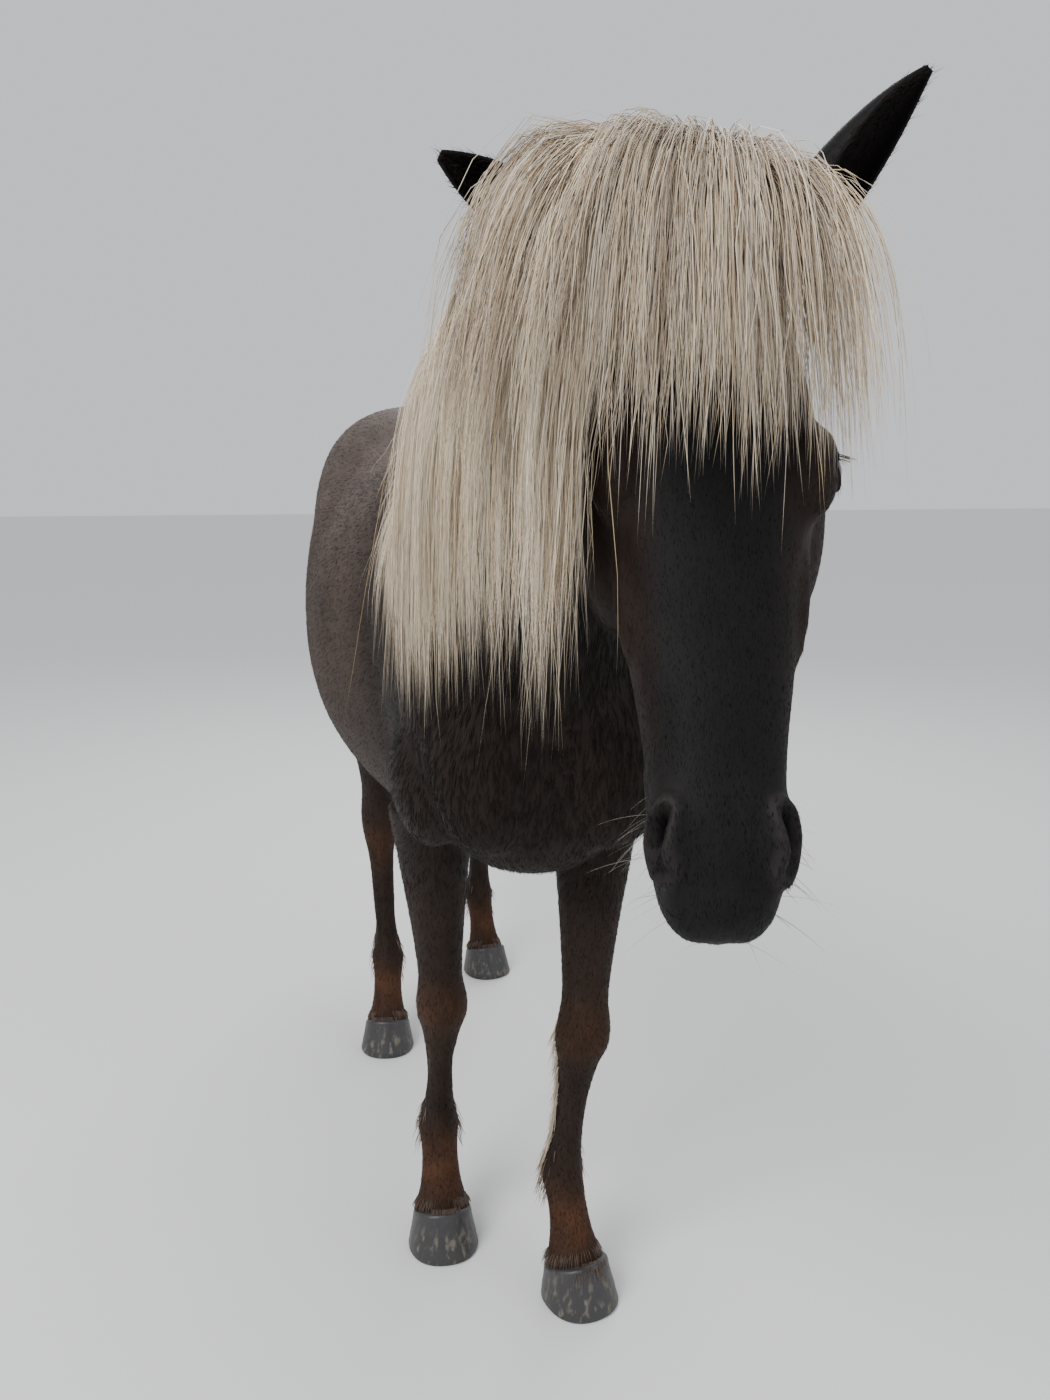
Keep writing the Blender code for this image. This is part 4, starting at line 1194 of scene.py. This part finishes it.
wispSizes = {
    "steps": 6,
    "fringe": 240,  # hairs over each coronet
    "feather": 260,  # hairs behind each fetlock
    "cannon": 520,  # pale hairs behind the left fore cannon
    "whiskers": 90,
    "lashes": 46,
    "jaw": 520,
    "widths": {"feathers": 0.00075, "whiskers": 0.00028},
}
wispColours = {
    "fringe": (0.075, 0.040, 0.022),
    "feather": (0.130, 0.078, 0.046),
    "pale": (0.480, 0.400, 0.300),
    "whisker": (0.300, 0.270, 0.240),
    "dark": (0.006, 0.005, 0.005),
}


def wisps(name, tree, rows, kind, ends):
    # rows: root, launch, length, spring, colour of each hair
    draw = np.random.default_rng(seeds[kind])
    width = wispSizes["widths"][kind]
    steps = wispSizes["steps"]
    paths = np.array([
        fallingPath(tree, skinPlace(tree, root, -0.002), launch, length, steps, spring, 0.0012)
        for root, launch, length, spring, _ in rows
    ])
    colours = np.array([row[4] for row in rows]) * draw.uniform(0.6, 1.4, size=(len(rows), 1))
    count, stops, _ = paths.shape
    share = np.linspace(0, 1, stops)
    ups = unit(np.gradient(paths, axis=1)[:, :, [1, 2, 0]])
    widths = width * draw.uniform(0.6, 1.3, size=(count, 1)) * (1 - 0.8 * share[None] ** 2)
    tints = colours[:, None] * (0.7 + 0.6 * share)[None, :, None]
    return tubesPiece(name, paths, ups, widths, 0.6, tints, unwrapSpots(paths[:, 0], ends))


def legWisps(tree):
    draw = np.random.default_rng(seeds["legHairs"])
    rows = []
    for leg in legSizes["legs"]:
        _, coronet, fetlock, ahead = footFrame(leg)
        side = Vector((-ahead.y, ahead.x, 0.0))
        fall = legSizes["hoofTop"] - legSizes["heelTop"]
        slope = Vector((0, 0, 1)) * legSizes["hoofLength"] * 0.78 - ahead * fall
        pale = leg == "foreleg_left"
        for k in range(wispSizes["fringe"]):
            angle = 2 * math.pi * k / wispSizes["fringe"]
            out = ahead * math.cos(angle) + side * math.sin(angle)
            root = coronet + out * 0.050
            root.z = coronet.z - slope.dot(out * 0.050) / slope.z + 0.022 + draw.uniform(-0.002, 0.006)
            launch = out * 0.55 - Vector((0, 0, 1.0)) + Vector(draw.normal(size=3)) * 0.12
            rows.append((root, launch, draw.uniform(0.014, 0.030), 0.9, wispColours["fringe"]))
        for k in range(wispSizes["feather"]):
            turn = draw.normal() * 0.75
            out = -ahead * math.cos(turn) + side * math.sin(turn)
            height = draw.uniform(-0.045, 0.050)
            root = fetlock + out * 0.035 + Vector((0, 0, height))
            launch = out * 0.40 - Vector((0, 0, 1.0)) + Vector(draw.normal(size=3)) * 0.15
            length = draw.uniform(0.025, 0.060) * (1.15 - abs(turn) * 0.3)
            colour = wispColours["pale" if pale and turn > -0.3 else "feather"]
            rows.append((root, launch, length, 0.85, colour))
    _, knee, fetlock, _ = legJoints("foreleg_left")
    for k in range(wispSizes["cannon"]):
        out = Vector((-1.0 + draw.normal() * 0.15, 0.15 + abs(draw.normal()) * 0.7, 0.0))
        root = knee.lerp(fetlock, draw.uniform(-0.12, 1.0)) + out.normalized() * 0.04
        launch = out * 0.30 - Vector((0, 0, 1.0)) + Vector(draw.normal(size=3)) * 0.16
        rows.append((root, launch, draw.uniform(0.018, 0.046), 0.85, wispColours["pale"]))
    return rows


def faceWisps(tree):
    draw = np.random.default_rng(seeds["faceHairs"])
    turn = head.to_3x3()
    rows = []
    for k in range(wispSizes["whiskers"]):
        sign = -1 if k % 2 else 1
        low = draw.random() < 0.6
        side, along = sign * draw.uniform(0.010, 0.055), draw.uniform(0.47, 0.575)
        root = onHead(side, -0.095 if low else -0.05, along)
        outward = sign * draw.uniform(0.3, 1.0)
        launch = turn @ Vector((outward, -0.6 if low else 0.1, draw.uniform(0.0, 0.7)))
        skinSpot = np.abs(inHead(np.array([skinPlace(tree, root, 0.0)])))
        if not low and lineDistance(skinSpot * (1, -1, 1), faceLines["nostril"])[0] < 0.022:
            continue
        rows.append((root, launch, draw.uniform(0.018, 0.060), 0.93, wispColours["whisker"]))
    for k in range(wispSizes["lashes"] * 2):
        sign = -1 if k % 2 else 1
        share = (k // 2) / wispSizes["lashes"] * 2 - 1
        front, along = 0.001 + 0.018 * share, -0.0025 - 0.0125 * (1 - share**2)
        eye = faceLines["eye"]
        root = onHead(sign * (eye[0] + 0.020), eye[1] + front, eye[2] + along)
        launch = turn @ Vector((sign * 1.0, 0.25 * share, 0.25))
        rows.append((root, launch, draw.uniform(0.010, 0.018), 0.95, wispColours["dark"]))
    for k in range(wispSizes["jaw"]):
        along = draw.uniform(0.16, 0.44)
        side = draw.normal() * 0.030
        launch = turn @ Vector((side * 3, -0.9, 0.6 + draw.normal() * 0.15))
        root = onHead(side, -0.22, along)
        rows.append((root, launch, draw.uniform(0.010, 0.026), 0.8, wispColours["dark"]))
    return rows


# Ears

earSizes = {
    "wall": 0.0032,
    "around": 14,
    "fuzz": 3600,
    # root, tip, way the cup opens, sideways bend, in the head's own measure
    "ear_left": ((0.064, -0.060, -0.008), (0.171, 0.018, -0.138), (0.55, 0.60, 0.55), 0.010),
    "ear_right": ((-0.064, -0.060, -0.008), (-0.229, -0.010, -0.073), (-0.10, 0.85, 0.50), -0.006),
    # share of the length, radius, half angle of the wall round the back
    "profile": (
        (0.00, 0.020, 172), (0.16, 0.024, 160), (0.32, 0.030, 128), (0.50, 0.030, 108),
        (0.68, 0.025, 98), (0.82, 0.018, 92), (0.93, 0.010, 88), (1.00, 0.0035, 84),
    ),
}


def makeEar(name):
    root, tip, opening, bend = earSizes[name]
    root, tip, opening = onHead(*root), onHead(*tip), head.to_3x3() @ Vector(opening)
    axis = (tip - root).normalized()
    opening = (opening - axis * opening.dot(axis)).normalized()
    across = axis.cross(opening)
    rows = smoothRows(earSizes["profile"], 3)
    columns = earSizes["around"]
    bm = bmesh.new()
    bmesh.ops.create_grid(bm, x_segments=columns, y_segments=len(rows) - 1, size=1.0)
    for vertex in bm.verts:
        turn, row = vertex.co.x, round((vertex.co.y + 1) / 2 * (len(rows) - 1))
        share, radius, spread = rows[row]
        middle = root + (tip - root) * share + across * bend * math.sin(math.pi * share)
        middle += opening * 0.020 * share**3
        angle = math.radians(spread) * turn
        curl = 1.0 - 0.12 * abs(turn) ** 3 * math.sin(math.pi * min(1.0, share * 1.2))
        out = across * math.sin(angle) - opening * math.cos(angle)
        vertex.co = middle + out * (radius - earSizes["wall"] / 2) * curl
    bmesh.ops.recalc_face_normals(bm, faces=bm.faces)
    bmesh.ops.solidify(bm, geom=bm.faces[:], thickness=earSizes["wall"])
    bmesh.ops.recalc_face_normals(bm, faces=bm.faces)
    piece = pieceFrom(name, bm)
    smooth = piece.modifiers.new("smooth", "SUBSURF")
    smooth.levels = smooth.render_levels = 1
    applied(piece)
    piece.data.shade_smooth()
    return piece


def earFuzz(name, mesh):
    # short hair over both faces of the ear, longer and paler along the rim of the cup
    root, tip, opening, _ = earSizes[name]
    root, tip = np.array(onHead(*root)), np.array(onHead(*tip))
    opening = np.array(head.to_3x3() @ Vector(opening))
    opening = opening / np.linalg.norm(opening)
    axis = (tip - root) / np.linalg.norm(tip - root)
    count = earSizes["fuzz"]
    draw = np.random.default_rng(len(name))
    roots, normals = scatter(mesh, count, lambda p: np.ones(len(p)), seeds["ears"])
    inside = ramp(np.sum(normals * opening, axis=1), 0.0, 0.5)[:, None]
    lie = unit(axis - normals * (normals @ axis)[:, None] + draw.normal(size=(count, 3)) * 0.15)
    length = (0.0045 + 0.006 * inside) * draw.uniform(0.6, 1.4, size=(count, 1))
    tips = roots + lie * length + normals * length * (0.12 + 0.2 * inside)
    paths = np.stack((roots - normals * 0.001, tips), axis=1)
    widths = np.repeat(0.0004 * draw.uniform(0.6, 1.3, size=(count, 1)), 2, axis=1)
    tone = mix(np.array(coatColours["black"]), np.array(coatColours["brown"]), inside * 0.8)
    tone = tone * draw.uniform(0.7, 1.5, size=(count, 1))
    tints = tone[:, None] * np.array((0.8, 1.2))[None, :, None]
    ups = np.repeat(normals[:, None], 2, axis=1)
    return tubesPiece(name + "_fuzz", paths, ups, widths, 0.5, tints, unwrapSpots(roots, (root, tip)))


# Eyes

eyeSizes = {
    "segments": 40,
    "rows": 28,
    # half length and half height
    "pupil": (0.0075, 0.0038),
    "coloured": (0.0150, 0.0135),
    "iris": (0.030, 0.014, 0.007),
    "rim": (0.006, 0.004, 0.003),
    "black": (0.001, 0.001, 0.0015),
}


def makeEye(name, sign):
    side, front, along = faceLines["eye"]
    place = head @ Matrix.Translation((sign * side, front, along))
    bm = bmesh.new()
    rows, radius = eyeSizes["rows"], faceLines["eyeRadius"]
    bmesh.ops.create_uvsphere(bm, u_segments=eyeSizes["segments"], v_segments=rows, radius=radius)
    turn = Matrix.Rotation(math.radians(90 * sign), 4, "Y")
    bmesh.ops.transform(bm, matrix=place @ turn, verts=bm.verts)
    return pieceFrom(name, bm)


def eyeMaterial(name, sign):
    # dark brown iris, level bar of a pupil and a wet gloss, drawn about the eye's own middle
    finish, shader, wire = newFinish(name)
    side, front, along = faceLines["eye"]
    middle = onHead(sign * side, front, along) + originShift
    spot = wire.node("ShaderNodeTexCoord", out=3)
    away = wire.node("ShaderNodeVectorMath", {"operation": "SUBTRACT"}, {0: spot, 1: middle})

    def alongAxis(axis):
        way = tuple(headAxes[:, axis])
        return wire.node("ShaderNodeVectorMath", {"operation": "DOT_PRODUCT"}, {0: away, 1: way}, out=1)

    front, down = alongAxis(1), alongAxis(2)

    def ovalOf(length, height):
        # 1 on the edge of an oval about the eye's middle
        flat, steep = front * (1 / length), down * (1 / height)
        return flat * flat + steep * steep

    pupil = ovalOf(*eyeSizes["pupil"]).between(1.15, 0.85)
    outside = ovalOf(*eyeSizes["coloured"]).between(0.80, 1.10)
    iris = (0.5 + wire.streaks(700.0, (0, 0, 0), (1, 1, 1), 3.0)).shaded(eyeSizes["iris"])
    colour = outside.tinted(pupil.tinted(iris, (*eyeSizes["black"], 1)), (*eyeSizes["rim"], 1))
    feed(shader, {
        "Base Color": colour,
        "Roughness": 0.12,
        "Specular IOR Level": 0.25,
        "Coat Weight": 0.30,
        "Coat Roughness": 0.02,
    })
    return finish


# Hooves

hoofSizes = {
    "sides": 48,
    # share of the height, length, width
    "rows": (
        (0.00, 0.55, 0.55), (0.00, 0.93, 0.93), (0.015, 0.965, 0.965), (0.06, 1.00, 1.00),
        (0.20, 0.970, 0.972), (0.35, 0.934, 0.944), (0.50, 0.900, 0.910), (0.70, 0.853, 0.872),
        (0.86, 0.812, 0.838), (0.92, 0.810, 0.836), (0.97, 0.795, 0.822), (1.00, 0.740, 0.770),
    ),
    "slate": (0.030, 0.029, 0.030),
    "dark": (0.010, 0.010, 0.012),
    "mud": (0.230, 0.195, 0.145),
}


def makeHoof(name, leg):
    sole, coronet, _, ahead = footFrame(leg)
    side = Vector((-ahead.y, ahead.x, 0.0))
    fall = (legSizes["hoofTop"] - legSizes["heelTop"]) / 2
    rings = []
    for k, (share, long, wide) in enumerate(hoofSizes["rows"]):
        middle = sole.lerp(coronet, share)
        ring = []
        for a, b in ovalPoints(hoofSizes["sides"], 0.9):
            growth = 1.0 + 0.004 * math.sin(k * 2.1 + 3 * a)
            point = middle + ahead * (b * long * growth * legSizes["hoofLength"] / 2)
            point += side * (a * wide * growth * legSizes["hoofWidth"] / 2)
            point.z = max(0.0, point.z + b * fall * share)
            ring.append(point)
        rings.append(ring)
    return pieceFrom(name, ringBody(rings))


def hornMaterial():
    finish, shader, wire = newFinish("hoof_horn")
    spot = wire.node("ShaderNodeTexCoord", out=3)
    height = wire.node("ShaderNodeSeparateXYZ", None, {"Vector": spot}, out=2)
    tubes = wire.streaks(170.0, (0, 0, 0), (1, 1, 0.06), 5.0)
    rings = wire.streaks(38.0, (0, 0, 0), (0.25, 0.25, 4.0), 3.0)
    dirt = wire.streaks(120.0, (0, 0, 0), (1, 1, 0.35), 5.0).between(0.50, 0.70)
    mud = dirt * height.between(0.080, 0.025)
    horn = (0.35 + tubes * 0.9 + rings * 0.3).tinted((*hoofSizes["dark"], 1), (*hoofSizes["slate"], 1))
    feed(shader, {
        "Base Color": (mud * 0.55).tinted(horn, (*hoofSizes["mud"], 1)),
        "Roughness": 0.42 + mud * 0.4,
        "Normal": (tubes * 0.6 + rings + mud * 0.8).relief(0.6, 0.0012),
    })
    return finish


# Making the horse

def makeHorse():
    skin = makeSkin()
    points, _ = meshPoints(skin.data)
    setNumber(skin.data, "downward", np.maximum(legShare(points), headShare(points)))
    tree = treeOf([skin])
    ears = {name: makeEar(name) for name in ("ear_left", "ear_right")}
    dressed = treeOf([skin, *ears.values()])
    print("skin and ears stand")

    fur, hair = furMaterial(), hairMaterial()
    for name, ear in ears.items():
        points, normals = meshPoints(ear.data)
        setTint(ear.data, np.tile(np.array(coatColours["face"]), (len(points), 1)))
        setNumber(ear.data, "downward", np.ones(len(points)))
        settle(earFuzz(name, ear.data), fur, "coat")

    makeTufts(skin.data, fur)
    hooves = {leg: makeHoof(leg.replace("leg", "hoof") + "_wall", leg) for leg in legSizes["legs"]}
    shod = treeOf([skin, *hooves.values()])
    settle(wisps("leg_feathers", shod, legWisps(tree), "feathers", unwrapLines["legs"]), hair, "hair")
    settle(wisps("face_whiskers", tree, faceWisps(tree), "whiskers", unwrapLines["head"]), fur, "coat")
    makeLongHair(dressed, tree, hair)
    coat = skinMaterial()
    for name, ear in ears.items():
        settle(ear, coat, "coat", name)
    flesh = ["head", "neck", "forequarters", "barrel", "hindquarters", "tail", *legSizes["legs"]]
    settle(skin, coat, "coat", *flesh)
    for name, sign in (("eye_left", 1), ("eye_right", -1)):
        settle(makeEye(name + "_ball", sign), eyeMaterial(name + "_wet", sign), "eye", name)
    horn = hornMaterial()
    for leg, wall in hooves.items():
        settle(wall, horn, "horn", leg.replace("leg", "hoof"))


# the middle lines that each region's short coat is unwrapped about, and how many tufts it has
unwrapLines = {
    "belly": ((0.0, 0.2, 1.05), (0.0, 1.2, 1.10)),
    "front": ((0.0, 0.1, 1.0), (0.0, -0.5, 1.35)),
    "head": (onHead(0, -0.06, 0.0), onHead(0, -0.06, 0.6)),
    "legs": ((0.0, 0.5, 0.0), (0.0, 0.5, 0.7)),
}
tuftCounts = {
    "coat_ribs": 28000,
    "coat_haunch": 28000,
    "coat_front": 32000,
    "coat_head": 44000,
    "coat_legs": 28000,
}


def onRibs(points):
    between = (points[:, 1] > 0.15) & (points[:, 1] < 0.72)
    return (1 - neckShare(points)) * (1 - legShare(points)) * between


def onHaunch(points):
    return (1 - legShare(points)) * (points[:, 1] >= 0.72)


def onFront(points):
    return (1 - legShare(points)) * (1 - headShare(points)) * (points[:, 1] <= 0.15)


def onHeadSkin(points):
    return headShare(points) * (lidMeasures(points)[0] > 0.004)


def onLegs(points):
    return legShare(points) * (points[:, 2] > 0.055)


def makeTufts(mesh, fur):
    regions = {
        "coat_ribs": (onRibs, "belly"),
        "coat_haunch": (onHaunch, "belly"),
        "coat_front": (onFront, "front"),
        "coat_head": (onHeadSkin, "head"),
        "coat_legs": (onLegs, "legs"),
    }
    for k, (name, (density, line)) in enumerate(regions.items()):
        count = tuftCounts[name] // 1
        settle(tufts(name, mesh, count, density, seeds["coat"] + k, unwrapLines[line]), fur, "coat")


def makeLongHair(tree, skinTree, hair):
    groups = {
        "forelock": (forelockGuides(tree), forelockSizes, tree),
        "mane": (maneGuides(tree), maneSizes, tree),
        "tail": (tailGuides(skinTree), tailSizes, skinTree),
    }
    mostTriangles = 190000  # in one piece
    for name, (guides, sizes, around) in groups.items():
        perLock = sizes["strands"] // 1
        most = mostTriangles // ((guides.shape[1] - 2) * 6 + 4)
        pieces = max(1, -(-len(guides) * perLock // most))
        for part in range(pieces):
            some = guides[part::pieces]
            paths, ups, widths = combedHair(around, some, sizes, perLock, seeds["strands"] + part)
            count, stops, _ = paths.shape
            tints = hairTints(count, stops, perLock, sizes["colours"], seeds["shades"] + part)
            spots = unwrapSpots(paths[:, 0], (paths[:, 0].min(axis=0), paths[:, 0].max(axis=0)))
            piece = tubesPiece(f"{name}_hair_{part + 1}", paths, ups, widths, 0.5, tints, spots)
            settle(piece, hair, "hair")


# Studio: floor, light and camera

studio = {
    "floor": (0.78, 0.78, 0.77),
    "sky": (0.86, 0.88, 0.92),
    "skyStrength": 0.90,
    "cameraPlace": Vector((-0.3098, -1.5836, 1.30)),
    "cameraTurn": math.radians(11.3),
    "cameraDown": math.radians(11.55),
    "lens": 29.57,
    # power, size, place, target
    "lights": {
        "key": (165.0, 2.2, (-2.4, -2.0, 3.6), (0.0, -0.3, 1.1)),
        "fill": (26.0, 3.0, (2.8, -2.4, 2.4), (0.0, 0.0, 0.9)),
        "back": (80.0, 2.4, (0.8, 3.6, 3.6), (0.0, 0.4, 1.0)),
    },
}


def makeStudio():
    bm = bmesh.new()
    bmesh.ops.create_grid(bm, x_segments=1, y_segments=1, size=30.0)
    floor = pieceFrom("floor", bm)
    finish, shader, _ = newFinish("pale_floor")
    feed(shader, {"Base Color": (*studio["floor"], 1.0), "Roughness": 0.75})
    floor.data.materials.append(finish)
    scene = bpy.context.scene
    world = scene.world or bpy.data.worlds.new("studio")
    scene.world = world
    world.use_nodes = True
    sky = world.node_tree.nodes["Background"]
    sky.inputs["Color"].default_value = (*studio["sky"], 1.0)
    sky.inputs["Strength"].default_value = studio["skyStrength"]
    for name, (power, size, place, target) in studio["lights"].items():
        lamp = bpy.data.lights.new(name, "AREA")
        lamp.energy, lamp.size = power, size
        light = bpy.data.objects.new(name, lamp)
        light.location = Vector(place) + originShift
        light.rotation_euler = (Vector(target) - Vector(place)).to_track_quat("-Z", "Y").to_euler()
        scene.collection.objects.link(light)
    camera = bpy.data.objects.new("camera", bpy.data.cameras.new("camera"))
    camera.data.lens, camera.data.sensor_width = studio["lens"], 36.0
    camera.location = studio["cameraPlace"] + originShift
    camera.rotation_euler = (math.pi / 2 - studio["cameraDown"], 0.0, -studio["cameraTurn"])
    scene.collection.objects.link(camera)
    scene.camera = camera


makeHorse()
makeStudio()
